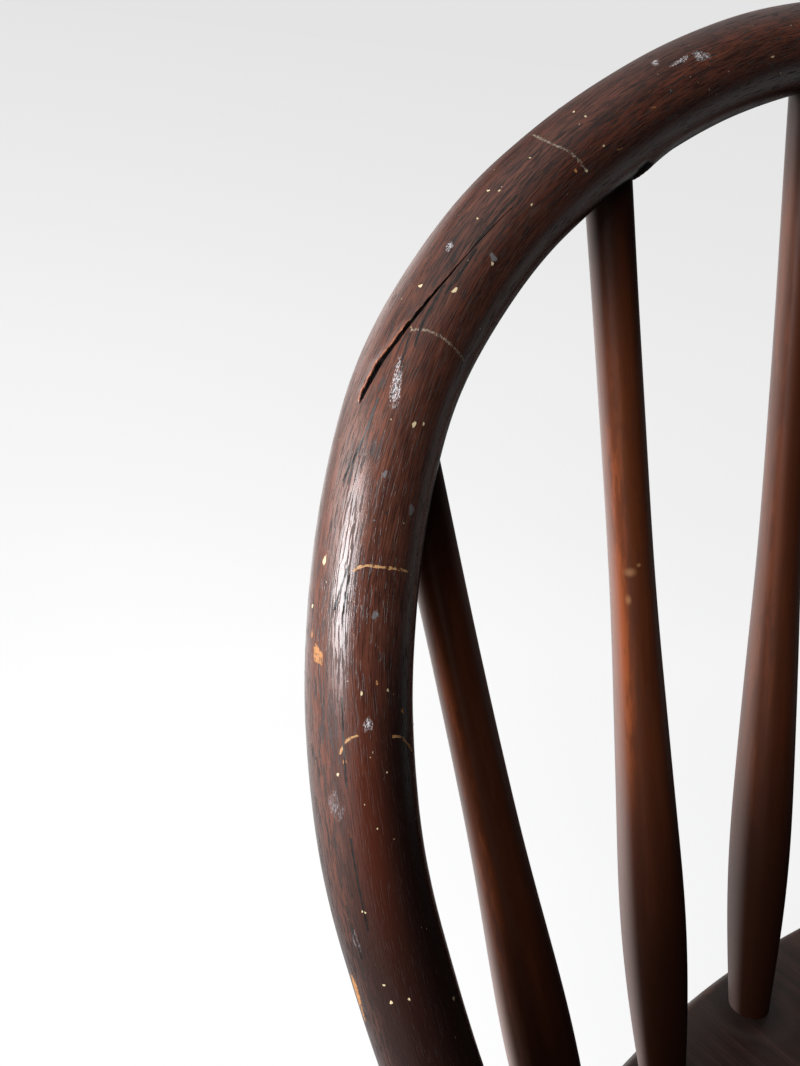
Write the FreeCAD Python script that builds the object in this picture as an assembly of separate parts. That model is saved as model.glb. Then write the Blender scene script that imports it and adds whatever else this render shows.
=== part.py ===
# Low hoop back rocking chair: a bent hoop with six turned spindles over a plank seat,
# four socketed legs tied by an H of stretchers, and two sawn rockers.
# Millimetres, +Z up, the chair faces -Y, and the origin is on the floor under the middle.
# Left means the -X side.
import FreeCAD, Part
import math
import os
from FreeCAD import Placement, Rotation, Vector

# Bent hoop of the back, measured along its centre line
hoop_diameter = 25.4
hoop_rise = 354.0
crown_radius = 300.0
crown_half_angle = 33.0
shoulder_radius = 140.0
hoop_leg_radius = 366.0
back_lean = 15.0
hoop_tenon_diameter = 19.0

# Spindles of one side, from the middle outwards: feet as shares of the row's half width,
# tops as shares of the hoop's half width, and the turned outline as
# (share of length, share of swell radius)
spindle_row_half_width = 150.0
spindle_foot_shares = (0.24, 0.62, 1.0)
spindle_row_reach = 41.0
spindle_row_radius = 555.0
spindle_top_shares = (0.203, 0.603, 0.916)
spindle_swell_radius = 10.3
spindle_outline_shares = ((0.0, 0.67), (0.12, 0.93), (0.25, 1.0), (0.38, 0.885),
                          (0.55, 0.69), (0.80, 0.60), (1.0, 0.60))
spindle_foot_tenon_diameter = 11.0
spindle_foot_tenon_depth = 24.0
spindle_top_tenon_diameter = 9.5
spindle_top_tenon_past_axis = 3.0

# Plank seat, measured from the line between the two feet of the hoop
seat_thickness = 40.0
seat_height = 372.0
seat_slope = 3.0
seat_line_reach = 119.0
seat_rear_reach = 58.0
seat_rear_radius = 480.0
seat_rear_half_width = 214.0
seat_front_reach = 352.0
seat_front_half_width = 222.0
seat_front_bulge = 14.0
seat_side_bulge = 7.0
seat_rear_corner_radius = 55.0
seat_front_corner_radius = 75.0
seat_top_edge_radius = 5.0
seat_under_chamfer = 13.0
dish_radius = 160.0
dish_depth = 8.0
dish_reach = 178.0

# Rockers, sawn from board, with the point of balance as their lowest point
rocker_radius = 900.0
rocker_thickness = 28.0
rocker_depth = 44.0
rocker_tip_radius = 14.0
rocker_front_reach = 300.0
rocker_rear_reach = 320.0
rocker_gauge_half = 195.0
rocker_edge_radius = 3.0
balance_reach = 10.0

# Legs, from their sockets in the seat to their sockets in the rockers, which lie further
# forward or back by the legs' rake
front_socket_half_width = 150.0
front_socket_inset = 77.0
rear_socket_half_width = 128.0
rear_socket_reach = 75.0
front_leg_rake = 30.0
rear_leg_rake = 92.0
foot_height = 18.0
leg_swell_radius = 18.0
leg_outline_shares = ((0.0, 0.72), (0.10, 0.74), (0.30, 0.93), (0.45, 1.0), (0.60, 0.95), (1.0, 0.66))
leg_top_tenon_diameter = 22.0
leg_foot_tenon_diameter = 17.0
peg_diameter = 8.0

# Stretchers
stretcher_share = 0.55
stretcher_swell_radius = 13.0
stretcher_outline_shares = ((0.0, 0.60), (0.25, 0.78), (0.5, 1.0), (0.75, 0.78), (1.0, 0.60))
stretcher_tenon_diameter = 13.0
stretcher_tenon_past_axis = 4.0
cross_tenon_diameter = 12.0
cross_tenon_past_axis = 3.0

# Wedges that spread the through tenons, and the film of glue round each joint
wedge_thickness = 3.0
wedge_edge_thickness = 0.9
wedge_length = 17.0
glue_line = 0.1
overrun = 6.0

up = Vector(0, 0, 1)
sides = (("left", -1), ("right", 1))
seat_place = Placement(Vector(0, seat_line_reach, seat_height), Rotation(Vector(1, 0, 0), -seat_slope))
seat_normal = seat_place.Rotation.multVec(up)


def on_seat(x, y, z):
    """Point given from the middle of the hoop's feet, in the plane of the seat's top."""
    return seat_place.multVec(Vector(x, y, z))


def on_back(across, rise):
    """Point in the leaning plane of the hoop."""
    lean = math.radians(back_lean)
    return on_seat(across, rise * math.sin(lean), rise * math.cos(lean))


def unit(start, end):
    direction = end - start
    direction.normalize()
    return direction


def rod(start, end, diameter):
    return Part.makeCylinder(diameter / 2, (end - start).Length, start, unit(start, end))


def turned(start, end, swell_radius, outline_shares):
    """Lathe work from start to end, with a smooth outline through the given shares."""
    length = (end - start).Length
    points = [Vector(swell_radius * width, 0, length * along) for along, width in outline_shares]
    outline = Part.BSplineCurve()
    outline.interpolate(points)
    foot, top = Vector(0, 0, 0), Vector(0, 0, length)
    edges = [Part.makeLine(foot, points[0]), outline.toShape(),
             Part.makeLine(points[-1], top), Part.makeLine(top, foot)]
    solid = Part.Face(Part.Wire(edges)).revolve(foot, up, 360)
    solid = Part.Solid(solid) if solid.ShapeType == "Shell" else solid
    solid.Placement = Placement(start, Rotation(up, unit(start, end)))
    return solid


def arc(first, middle, last):
    return Part.Arc(first, middle, last).toShape()


# Centre line of the hoop: a crown, two shoulders and two legs that draw in to the seat
crown_angle = math.radians(crown_half_angle)
crown_centre = hoop_rise - crown_radius
shoulder_across = (crown_radius - shoulder_radius) * math.sin(crown_angle)
shoulder_centre = crown_centre + (crown_radius - shoulder_radius) * math.cos(crown_angle)
hoop_half_width = shoulder_across + shoulder_radius
hoop_leg_across = hoop_half_width - hoop_leg_radius
foot_angle = math.asin(shoulder_centre / hoop_leg_radius)


def crown_point(angle):
    return on_back(crown_radius * math.sin(angle), crown_centre + crown_radius * math.cos(angle))


def shoulder_point(side, angle):
    return on_back(side * (shoulder_across + shoulder_radius * math.sin(angle)),
                   shoulder_centre + shoulder_radius * math.cos(angle))


def hoop_leg_point(side, angle):
    return on_back(side * (hoop_leg_across + hoop_leg_radius * math.cos(angle)),
                   shoulder_centre - hoop_leg_radius * math.sin(angle))


def hoop_height(across):
    """Point of the hoop's centre line over a place across the back."""
    if across <= crown_radius * math.sin(crown_angle):
        return crown_centre + math.sqrt(crown_radius ** 2 - across ** 2)
    return shoulder_centre + math.sqrt(shoulder_radius ** 2 - (across - shoulder_across) ** 2)


def make_hoop():
    sunk_angle = foot_angle + overrun / hoop_leg_radius
    quarter = math.pi / 2
    edges = [arc(crown_point(-crown_angle), crown_point(0), crown_point(crown_angle))]
    for _, side in sides:
        edges.append(arc(shoulder_point(side, crown_angle), shoulder_point(side, (crown_angle + quarter) / 2),
                         shoulder_point(side, quarter)))
        edges.append(arc(hoop_leg_point(side, 0), hoop_leg_point(side, sunk_angle / 2),
                         hoop_leg_point(side, sunk_angle)))
    path = Part.Wire(Part.__sortEdges__(edges))
    start = path.Edges[0]
    first = start.valueAt(start.FirstParameter)
    tangent = start.tangentAt(start.FirstParameter)
    section = Part.Wire(Part.makeCircle(hoop_diameter / 2, first, tangent))
    return path.makePipeShell([section], True, False)


def make_seat_blank():
    """Plank with bowed edges, rounded corners, a shallow round dish and a chamfer below."""
    rear_drop = seat_rear_radius - math.sqrt(seat_rear_radius ** 2 - seat_rear_half_width ** 2)
    rear_y = seat_rear_reach - rear_drop
    front_y = seat_front_bulge - seat_front_reach
    side_x = (seat_rear_half_width + seat_front_half_width) / 2 + seat_side_bulge
    side_y = (rear_y + front_y) / 2
    rear = [Vector(side * seat_rear_half_width, rear_y, 0) for _, side in sides]
    front = [Vector(side * seat_front_half_width, front_y, 0) for _, side in sides]
    edges = [arc(rear[0], Vector(0, seat_rear_reach, 0), rear[1]),
             arc(rear[1], Vector(side_x, side_y, 0), front[1]),
             arc(front[1], Vector(0, -seat_front_reach, 0), front[0]),
             arc(front[0], Vector(-side_x, side_y, 0), rear[0])]
    blank = Part.Face(Part.Wire(edges)).extrude(Vector(0, 0, -seat_thickness))
    upright = [edge for edge in blank.Edges if edge.BoundBox.ZLength > seat_thickness / 2]
    rear_edges = [edge for edge in upright if edge.CenterOfMass.y > side_y]
    blank = blank.makeFillet(seat_rear_corner_radius, rear_edges)
    upright = [edge for edge in blank.Edges if edge.Curve.TypeId == "Part::GeomLine"
               and edge.BoundBox.ZLength > seat_thickness / 2 and edge.CenterOfMass.y < side_y]
    front_edges = [edge for edge in upright if edge.CenterOfMass.y < front_y + seat_front_bulge]
    blank = blank.makeFillet(seat_front_corner_radius, front_edges)
    flat = [edge for edge in blank.Edges if edge.BoundBox.ZLength < glue_line]
    blank = blank.makeChamfer(seat_under_chamfer, [edge for edge in flat if edge.CenterOfMass.z < -glue_line])
    flat = [edge for edge in blank.Edges if edge.BoundBox.ZLength < glue_line]
    blank = blank.makeFillet(seat_top_edge_radius, [edge for edge in flat if edge.CenterOfMass.z > -glue_line])
    ball_radius = (dish_radius ** 2 + dish_depth ** 2) / (2 * dish_depth)
    blank = blank.cut(Part.makeSphere(ball_radius, Vector(0, -dish_reach, ball_radius - dish_depth)))
    blank.Placement = seat_place
    return blank


def rocker_point(side, inset, angle):
    """Point of a rocker's middle plane, inset from its running edge, at an angle from balance."""
    radius = rocker_radius - inset
    return Vector(side * rocker_gauge_half, -balance_reach + radius * math.sin(angle),
                  rocker_radius - radius * math.cos(angle))


def tip_angle(reach):
    return math.asin((reach - rocker_tip_radius) / (rocker_radius - rocker_tip_radius))


def rocker_half(side, way, reach):
    """Edges of one end of a rocker: running edge, round tip and the upper edge that meets it."""
    def flat(along, height):
        return Vector(side * rocker_gauge_half, -balance_reach + way * along, height)
    tip, angle = rocker_tip_radius, tip_angle(reach)
    tip_along = (rocker_radius - tip) * math.sin(angle)
    tip_height = rocker_radius - (rocker_radius - tip) * math.cos(angle)
    drop = rocker_depth - tip_height
    upper_radius = (drop ** 2 + tip_along ** 2 - tip ** 2) / (2 * (tip - drop))
    upper_angle = math.atan2(tip_along, rocker_depth + upper_radius - tip_height)
    meeting = flat(upper_radius * math.sin(upper_angle),
                   rocker_depth + upper_radius * (1 - math.cos(upper_angle)))
    middle = flat(upper_radius * math.sin(upper_angle / 2),
                  rocker_depth + upper_radius * (1 - math.cos(upper_angle / 2)))
    end = flat(tip_along + tip * math.cos(angle), tip_height + tip * math.sin(angle))
    return [arc(flat(0, 0), rocker_point(side, 0, way * angle / 2), rocker_point(side, 0, way * angle)),
            arc(rocker_point(side, 0, way * angle), end, meeting),
            arc(meeting, middle, flat(0, rocker_depth))]


def make_rocker_blank(side):
    edges = rocker_half(side, -1, rocker_front_reach) + rocker_half(side, 1, rocker_rear_reach)
    face = Part.Face(Part.Wire(Part.__sortEdges__(edges)))
    face.translate(Vector(-rocker_thickness / 2, 0, 0))
    blank = face.extrude(Vector(rocker_thickness, 0, 0))
    rims = [edge for edge in blank.Edges if edge.BoundBox.XLength < rocker_thickness / 2]
    return blank.makeFillet(rocker_edge_radius, rims)


def wedge(face_centre, inward, across):
    """Thin wedge across a tenon's end, driven in from the end face."""
    half, edge_half = wedge_thickness / 2, wedge_edge_thickness / 2
    thin = inward.cross(across)
    thin.normalize()
    outer = face_centre - inward * overrun
    inner = face_centre + inward * wedge_length
    corners = [outer + thin * half, inner + thin * edge_half, inner - thin * edge_half, outer - thin * half]
    face = Part.makePolygon([corner - across * hoop_diameter for corner in corners + corners[:1]])
    return Part.Face(face).extrude(across * hoop_diameter * 2)


pieces = {}
sockets = {}


def bore(node, start, end, diameter):
    """Socket in a piece for a tenon, wider than it by the film of glue."""
    sockets.setdefault(node, []).append(rod(start, end, diameter + 2 * glue_line))


seat_blank = make_seat_blank()
hoop_blank = make_hoop()
rocker_blanks = {name: make_rocker_blank(side) for name, side in sides}
pieces["seat"] = seat_blank
for name, blank in rocker_blanks.items():
    pieces["rocker_" + name] = blank

# Hoop: its body stops on the seat, and a tenon at each foot goes through the seat
hoop = hoop_blank.cut(seat_blank)
hoop_wedges = []
for _, side in sides:
    foot = hoop_leg_point(side, foot_angle)
    down = unit(hoop_leg_point(side, foot_angle - overrun / hoop_leg_radius), foot)
    reach = seat_thickness / abs(down.dot(seat_normal))
    tenon = rod(foot - down * overrun, foot + down * (reach + overrun), hoop_tenon_diameter)
    tenon = tenon.common(seat_blank)
    key = wedge(foot + down * reach, down * -1, Vector(0, 1, 0)).common(tenon)
    hoop_wedges.append(key)
    hoop = hoop.fuse(tenon.cut(key))
    bore("seat", foot - down * overrun, foot + down * (reach + overrun), hoop_tenon_diameter)
pieces["hoop"] = hoop.removeSplitter()
pieces["hoop_wedges"] = Part.makeCompound(hoop_wedges)

# Spindles, three to a side, from the seat's rear to the underside of the hoop
spindle_pairs = len(spindle_top_shares)
number = 0
for _, side in sides:
    order = range(spindle_pairs)
    for pair in (reversed(order) if side < 0 else order):
        number += 1
        across = side * spindle_foot_shares[pair] * spindle_row_half_width
        row_y = spindle_row_reach - spindle_row_radius + math.sqrt(spindle_row_radius ** 2 - across ** 2)
        foot = on_seat(across, row_y, 0)
        top_across = spindle_top_shares[pair] * hoop_half_width
        top = on_back(side * top_across, hoop_height(top_across))
        rise = unit(foot, top)
        body = turned(foot - rise * overrun, top, spindle_swell_radius, spindle_outline_shares)
        body = body.cut(seat_blank).cut(hoop_blank)
        foot_start = foot - rise * spindle_foot_tenon_depth
        top_end = top + rise * spindle_top_tenon_past_axis
        foot_tenon = rod(foot_start, foot + rise * overrun, spindle_foot_tenon_diameter)
        top_tenon = rod(top - rise * hoop_diameter, top_end, spindle_top_tenon_diameter)
        pieces["spindle_%d" % number] = body.fuse([foot_tenon, top_tenon]).removeSplitter()
        bore("seat", foot_start - rise * glue_line, foot + rise * overrun, spindle_foot_tenon_diameter)
        bore("hoop", top - rise * hoop_diameter, top_end + rise * glue_line, spindle_top_tenon_diameter)

# Legs, tenoned through the seat and down into the rockers
front_socket_reach = seat_front_reach - front_socket_inset
front_foot_y = seat_line_reach - front_socket_reach - front_leg_rake
rear_foot_y = seat_line_reach - rear_socket_reach + rear_leg_rake
leg_rows = (("front", front_socket_half_width, -front_socket_reach, front_foot_y),
            ("rear", rear_socket_half_width, -rear_socket_reach, rear_foot_y))
leg_lines = {}
leg_bodies = {}
leg_wedges = []
rocker_pegs = []
for row, socket_half_width, socket_y, foot_y in leg_rows:
    for name, side in sides:
        node = "leg_%s_%s" % (row, name)
        rocker = rocker_blanks[name]
        head = on_seat(side * socket_half_width, socket_y, -seat_thickness / 2)
        foot = rocker_point(side, foot_height, math.asin((foot_y + balance_reach) / rocker_radius))
        down = unit(head, foot)
        body = turned(head, foot, leg_swell_radius, leg_outline_shares).cut(seat_blank).cut(rocker)
        head_end = head - down * seat_thickness
        waist = head + down * seat_thickness
        head_tenon = rod(head_end, waist, leg_top_tenon_diameter).common(seat_blank)
        ankle = foot - down * rocker_depth
        foot_tenon = rod(ankle, foot, leg_foot_tenon_diameter).common(rocker)
        face_centre = head - down * (seat_thickness / 2 / abs(down.dot(seat_normal)))
        key = wedge(face_centre, down, Vector(1, 0, 0)).common(head_tenon)
        leg_wedges.append(key)
        peg_centre = foot - down * (foot_height / 2)
        peg_half = Vector(rocker_thickness / 2, 0, 0)
        peg_middle = Vector(side * rocker_gauge_half, peg_centre.y, peg_centre.z)
        rocker_pegs.append(rod(peg_middle - peg_half, peg_middle + peg_half, peg_diameter))
        peg_hole = (peg_middle - peg_half * 2, peg_middle + peg_half * 2, peg_diameter)
        leg_lines[node] = (head, foot)
        leg_bodies[node] = body
        pieces[node] = body.fuse([head_tenon.cut(key), foot_tenon]).removeSplitter()
        bore(node, *peg_hole)
        bore("rocker_" + name, *peg_hole)
        bore("rocker_" + name, ankle, foot + down * glue_line, leg_foot_tenon_diameter)
        bore("seat", head_end, waist, leg_top_tenon_diameter)
pieces["leg_wedges"] = Part.makeCompound(leg_wedges)
pieces["rocker_pegs"] = Part.makeCompound(rocker_pegs)


def make_stretcher(node, ends, hosts, host_bodies, tenon_diameter, past_axis):
    """Turned rail between two host pieces, with a tenon in each."""
    start, end = ends
    along = unit(start, end)
    body = turned(start, end, stretcher_swell_radius, stretcher_outline_shares)
    plain = body
    for host_body in host_bodies:
        body = body.cut(host_body)
    tip_start, tip_end = start - along * past_axis, end + along * past_axis
    core = rod(tip_start, tip_end, tenon_diameter)
    pieces[node] = body.fuse(core).removeSplitter()
    bore(hosts[0], tip_start - along * glue_line, start + along * leg_swell_radius * 2, tenon_diameter)
    bore(hosts[1], end - along * leg_swell_radius * 2, tip_end + along * glue_line, tenon_diameter)
    return plain


# Side stretchers between the legs, and a cross stretcher between those
rails = {}
middles = []
for name, side in sides:
    hosts = ["leg_front_" + name, "leg_rear_" + name]
    ends = [leg_lines[host][0] + (leg_lines[host][1] - leg_lines[host][0]) * stretcher_share for host in hosts]
    node = "stretcher_" + name
    rails[node] = make_stretcher(node, ends, hosts, [leg_bodies[host] for host in hosts],
                                 stretcher_tenon_diameter, stretcher_tenon_past_axis)
    middles.append((ends[0] + ends[1]) / 2)
make_stretcher("stretcher_cross", middles, list(rails), list(rails.values()),
               cross_tenon_diameter, cross_tenon_past_axis)

for node, cutters in sockets.items():
    pieces[node] = pieces[node].cut(cutters)

os.makedirs("parts", exist_ok=True)
whole = Part.makeCompound(list(pieces.values()))
volume = sum(solid.Volume for solid in whole.Solids)
balance = sum((solid.CenterOfMass * solid.Volume for solid in whole.Solids), Vector()) / volume
print("balance point", balance, "lowest point at", -balance_reach)
print("whole box", whole.BoundBox)
for node, shape in pieces.items():
    solids = shape.Solids
    print(node, len(solids), "solids, valid", shape.isValid(), "volume", round(shape.Volume))
    result = solids[0] if len(solids) == 1 else Part.makeCompound(solids)
    result.exportStep("parts/%s.step" % node)
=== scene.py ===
# Worn hoop back rocking chair: bent hoop, turned spindles, plank seat, legs and rockers.
# Shapes are worked out in millimetres, in the plane of the seat, and put down in metres.
import math
import bmesh
import bpy
import numpy as np
from mathutils import Matrix, Vector


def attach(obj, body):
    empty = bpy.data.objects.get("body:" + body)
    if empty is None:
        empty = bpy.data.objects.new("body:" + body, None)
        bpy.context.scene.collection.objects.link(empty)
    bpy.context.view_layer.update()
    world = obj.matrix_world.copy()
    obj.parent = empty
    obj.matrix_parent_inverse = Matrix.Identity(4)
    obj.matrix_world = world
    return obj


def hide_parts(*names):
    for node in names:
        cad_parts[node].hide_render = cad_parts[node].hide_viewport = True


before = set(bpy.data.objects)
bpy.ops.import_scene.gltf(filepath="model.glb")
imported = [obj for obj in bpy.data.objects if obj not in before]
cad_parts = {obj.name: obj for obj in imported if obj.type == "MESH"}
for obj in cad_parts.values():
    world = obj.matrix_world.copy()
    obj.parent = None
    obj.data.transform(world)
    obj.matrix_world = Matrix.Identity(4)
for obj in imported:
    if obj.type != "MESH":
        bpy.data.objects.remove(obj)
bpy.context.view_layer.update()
mm = 0.001
print("frame loaded with", len(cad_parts), "nodes")

# Seat, measured from the middle of the line between the hoop's feet
seat = dict(thickness=40.0, height=372.0, slope=3.0, lineReach=119.0, rearReach=58.0, rearRadius=480.0,
            rearHalfWidth=214.0, frontReach=352.0, frontHalfWidth=222.0, frontBulge=14.0, sideBulge=7.0,
            rearCorner=55.0, frontCorner=75.0, topEdge=5.0, underChamfer=13.0,
            dishRadius=160.0, dishDepth=8.0, dishReach=178.0, sitReach=190.0, unevenness=0.15, columns=360)
slope = math.radians(seat["slope"])
seatTurn = np.array([[1, 0, 0], [0, math.cos(slope), math.sin(slope)],
                     [0, -math.sin(slope), math.cos(slope)]])
seatOrigin = np.array([0, seat["lineReach"], seat["height"]])


def fromSeat(points):
    # turns a point of the seat's frame down by the seat's slope and adds the place of the hoop's line
    return points @ seatTurn.T + seatOrigin


def toSeat(points):
    return (points - seatOrigin) @ seatTurn


def unitVector(vector):
    vector = np.asarray(vector, float)
    return vector / np.linalg.norm(vector, axis=-1, keepdims=True)


# Shape tools


def ringAngles(count):
    return np.linspace(0, 2 * math.pi, count, endpoint=False)


def bell(value, width):
    # one in the middle, falling off on both sides as e to the minus (value over width) squared
    return np.exp(-(value / width) ** 2)


def between(table, at, outside=None):
    # straight runs between a table's pairs of place and value
    places, values = np.array(table).T
    return np.interp(at, places, values, left=outside, right=outside)


def wrapped(value, turn):
    # the same place on a circle, counted from half a turn below nought to half a turn above
    return (value + turn / 2) % turn - turn / 2


def inwardOf(outline):
    # at each point of a closed outline, the direction square to its neighbours' line, to the left
    along = np.roll(outline, -1, 0) - np.roll(outline, 1, 0)
    return unitVector(np.stack([-along[:, 1], along[:, 0]], -1))


def wornGrid(points, grain, wear, folded=False, **others):
    # a piece's grid: its points, its place in the grain and its wear, which the finishes read
    return dict(points=points, values={"grainPlace": grain, "wear": wear, **others}, folded=folded)


def smoothCurve(places, values, at):
    # natural cubic through the given values: second derivatives from the usual band of equations
    places, values = np.asarray(places, float), np.asarray(values, float)
    steps = np.diff(places)
    rises = np.diff(values) / steps
    count = len(places)
    band = np.eye(count)
    right = np.zeros(count)
    for row in range(1, count - 1):
        band[row, row - 1:row + 2] = steps[row - 1], 2 * (steps[row - 1] + steps[row]), steps[row]
        right[row] = 6 * (rises[row] - rises[row - 1])
    bends = np.linalg.solve(band, right)
    cell = np.clip(np.searchsorted(places, at) - 1, 0, count - 2)
    step, before, after = steps[cell], at - places[cell], places[cell + 1] - at
    return ((bends[cell] * after ** 3 + bends[cell + 1] * before ** 3) / (6 * step)
            + (values[cell] / step - bends[cell] * step / 6) * after
            + (values[cell + 1] / step - bends[cell + 1] * step / 6) * before)


def spread(spans):
    # places from span to span at each span's own step, given as (from, to, step)
    runs = [np.linspace(low, high, max(int(round((high - low) / step)), 1), endpoint=False)
            for low, high, step in spans]
    return np.concatenate(runs + [[spans[-1][1]]])


def gridFaces(rows, columns, first):
    # quads between neighbouring rows of closed rings, and a fan of triangles over each end
    row, column = np.meshgrid(np.arange(rows - 1), np.arange(columns), indexing="ij")
    near = row * columns + column
    side = row * columns + (column + 1) % columns
    quads = np.stack([near, side, side + columns, near + columns], -1).reshape(-1, 4)
    ring = np.arange(columns)
    after = (ring + 1) % columns
    last = (rows - 1) * columns
    starts = np.stack([after, ring, np.full(columns, rows * columns)], -1)
    ends = np.stack([last + ring, last + after, np.full(columns, rows * columns + 1)], -1)
    return quads + first, np.concatenate([starts, ends]) + first


def buildPiece(name, grids, sharpAngle=38.0, weld=False):
    # each grid holds points (rows, columns, 3) in seat-frame mm and values per point. A folded grid's end
    # rings lie doubled on a line, so they are welded shut instead of capped. A grid whose signed volume is
    # below nought has its faces turned round
    vertices, quads, fans = [], [], []
    perPoint = {}
    first = 0
    for grid in grids:
        points = grid["points"]
        rows, columns = points.shape[:2]
        ends = np.stack([points[0].mean(0), points[-1].mean(0)])
        flat = np.concatenate([points.reshape(-1, 3), ends])
        made, caps = gridFaces(rows, columns, first)
        a, b, c, d = np.moveaxis((flat - flat.mean(0))[made - first], 1, 0)
        turned = np.sum(a * (np.cross(b, c) + np.cross(c, d))) < 0
        quads.append(made[:, ::-1] if turned else made)
        if not grid["folded"]:
            fans.append(caps[:, ::-1] if turned else caps)
        vertices.append(flat)
        for key, value in grid["values"].items():
            tail = np.shape(value)[2:]
            value = np.broadcast_to(value, points.shape[:2] + tail)
            tips = np.stack([value[0].mean(0), value[-1].mean(0)])
            perPoint.setdefault(key, []).append(np.concatenate([value.reshape((-1,) + tail), tips]))
        first += len(flat)
    vertices = fromSeat(np.concatenate(vertices)) * mm
    quads, fans = np.concatenate(quads), np.concatenate(fans + [np.zeros((0, 3), int)])
    mesh = bpy.data.meshes.new(name)
    mesh.vertices.add(len(vertices))
    mesh.vertices.foreach_set("co", vertices.ravel())
    loops = np.concatenate([quads.ravel(), fans.ravel()])
    sizes = np.concatenate([np.full(len(quads), 4), np.full(len(fans), 3)])
    mesh.loops.add(len(loops))
    mesh.loops.foreach_set("vertex_index", loops)
    mesh.polygons.add(len(sizes))
    mesh.polygons.foreach_set("loop_start", np.concatenate([[0], np.cumsum(sizes)[:-1]]))
    mesh.polygons.foreach_set("loop_total", sizes)
    for key, values in perPoint.items():
        values = np.concatenate(values)
        kind, field = ("FLOAT_VECTOR", "vector") if values.ndim == 2 else ("FLOAT", "value")
        mesh.attributes.new(key, kind, "POINT").data.foreach_set(field, values.astype(np.float32).ravel())
    mesh.update(calc_edges=True)
    mesh.validate()
    if weld:
        work = bmesh.new()
        work.from_mesh(mesh)
        bmesh.ops.remove_doubles(work, verts=work.verts, dist=weld * mm)
        loose = [point for point in work.verts if not point.link_faces]
        bmesh.ops.delete(work, geom=loose, context="VERTS")
        bmesh.ops.recalc_face_normals(work, faces=work.faces)
        work.to_mesh(mesh)
        work.free()
    mesh.polygons.foreach_set("use_smooth", np.ones(len(mesh.polygons), bool))
    mesh.set_sharp_from_angle(angle=math.radians(sharpAngle))
    piece = bpy.data.objects.new(name, mesh)
    bpy.context.scene.collection.objects.link(piece)
    return piece


def finishPiece(piece, material, slot, *nodes):
    piece.data.materials.append(material)
    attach(piece, "root")
    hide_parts(*nodes)
    print("made", piece.name, len(piece.data.polygons), "faces")
    return piece


# Finishes


bench = {}  # holds the node tree that new nodes go into


def startTree(owner):
    owner.use_nodes = True
    bench["tree"] = owner.node_tree
    bench["tree"].nodes.clear()


class Value:
    # a node's output, which takes plain sums; the node's other outputs are found by name or number
    def __init__(self, socket):
        self.socket = socket

    def __getitem__(self, key):
        return Value(self.socket.node.outputs[key])

    def __add__(self, other):
        return calculate("ADD", self, other)

    def __sub__(self, other):
        return calculate("SUBTRACT", self, other)

    def __mul__(self, other):
        return calculate("MULTIPLY", self, other)

    def __truediv__(self, other):
        return calculate("DIVIDE", self, other)


def addNode(kind, inputs=None, **settings):
    # a new node in the tree on the bench, given as its first output
    made = bench["tree"].nodes.new("ShaderNode" + kind)
    for key, value in settings.items():
        setattr(made, key, value)
    for key, value in (inputs or {}).items():
        if isinstance(value, Value):
            bench["tree"].links.new(value.socket, made.inputs[key])
        else:
            made.inputs[key].default_value = value
    return Value(made.outputs[0]) if made.outputs else None


def calculate(operation, first, second, clamp=False):
    return addNode("Math", {0: first, 1: second}, operation=operation, use_clamp=clamp)


def most(first, second):
    return calculate("MAXIMUM", first, second)


def carried(name, output="Fac"):
    # a value that the piece's points carry
    return addNode("Attribute", attribute_name=name)[output]


def ease(value, low, high, start=0.0, end=1.0):
    # smooth step of a value from low to high
    inputs = {"Value": value, "From Min": low, "From Max": high, "To Min": start, "To Max": end}
    return addNode("MapRange", inputs, interpolation_type="SMOOTHSTEP")


def tint(factor, first, second):
    # mixes the first colour towards the second by the factor; a colour is a node's or three numbers
    first, second = [(*colour, 1) if isinstance(colour, tuple) else colour for colour in (first, second)]
    return addNode("Mix", {0: factor, 6: first, 7: second}, data_type="RGBA")[2]


def coated(colour, *coats):
    # coats over a colour, one after the other, each given as its mask and its own colour
    for mask, coat in coats:
        colour = tint(mask, colour, coat)
    return colour


def stretchedNoise(place, along, across, detail, roughness=0.55, shift=0.0):
    # noise drawn out along the grain: counts per metre along and across
    drawn = addNode("Mapping", {"Vector": place, "Scale": (along, across, across), "Location": (shift,) * 3})
    return addNode("TexNoise", {"Vector": drawn, "Scale": 1.0, "Detail": detail, "Roughness": roughness})


def fleckField(place, count, size):
    # one small round fleck in some of the cells of a Voronoi pattern
    cells = addNode("TexVoronoi", {"Vector": place, "Scale": count})
    radius = ease(addNode("SeparateColor", {0: cells["Color"]}), 0.45, 1.0) * (size * count)
    return ease(radius - cells["Distance"], 0.0, size * count * 0.25)


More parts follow.
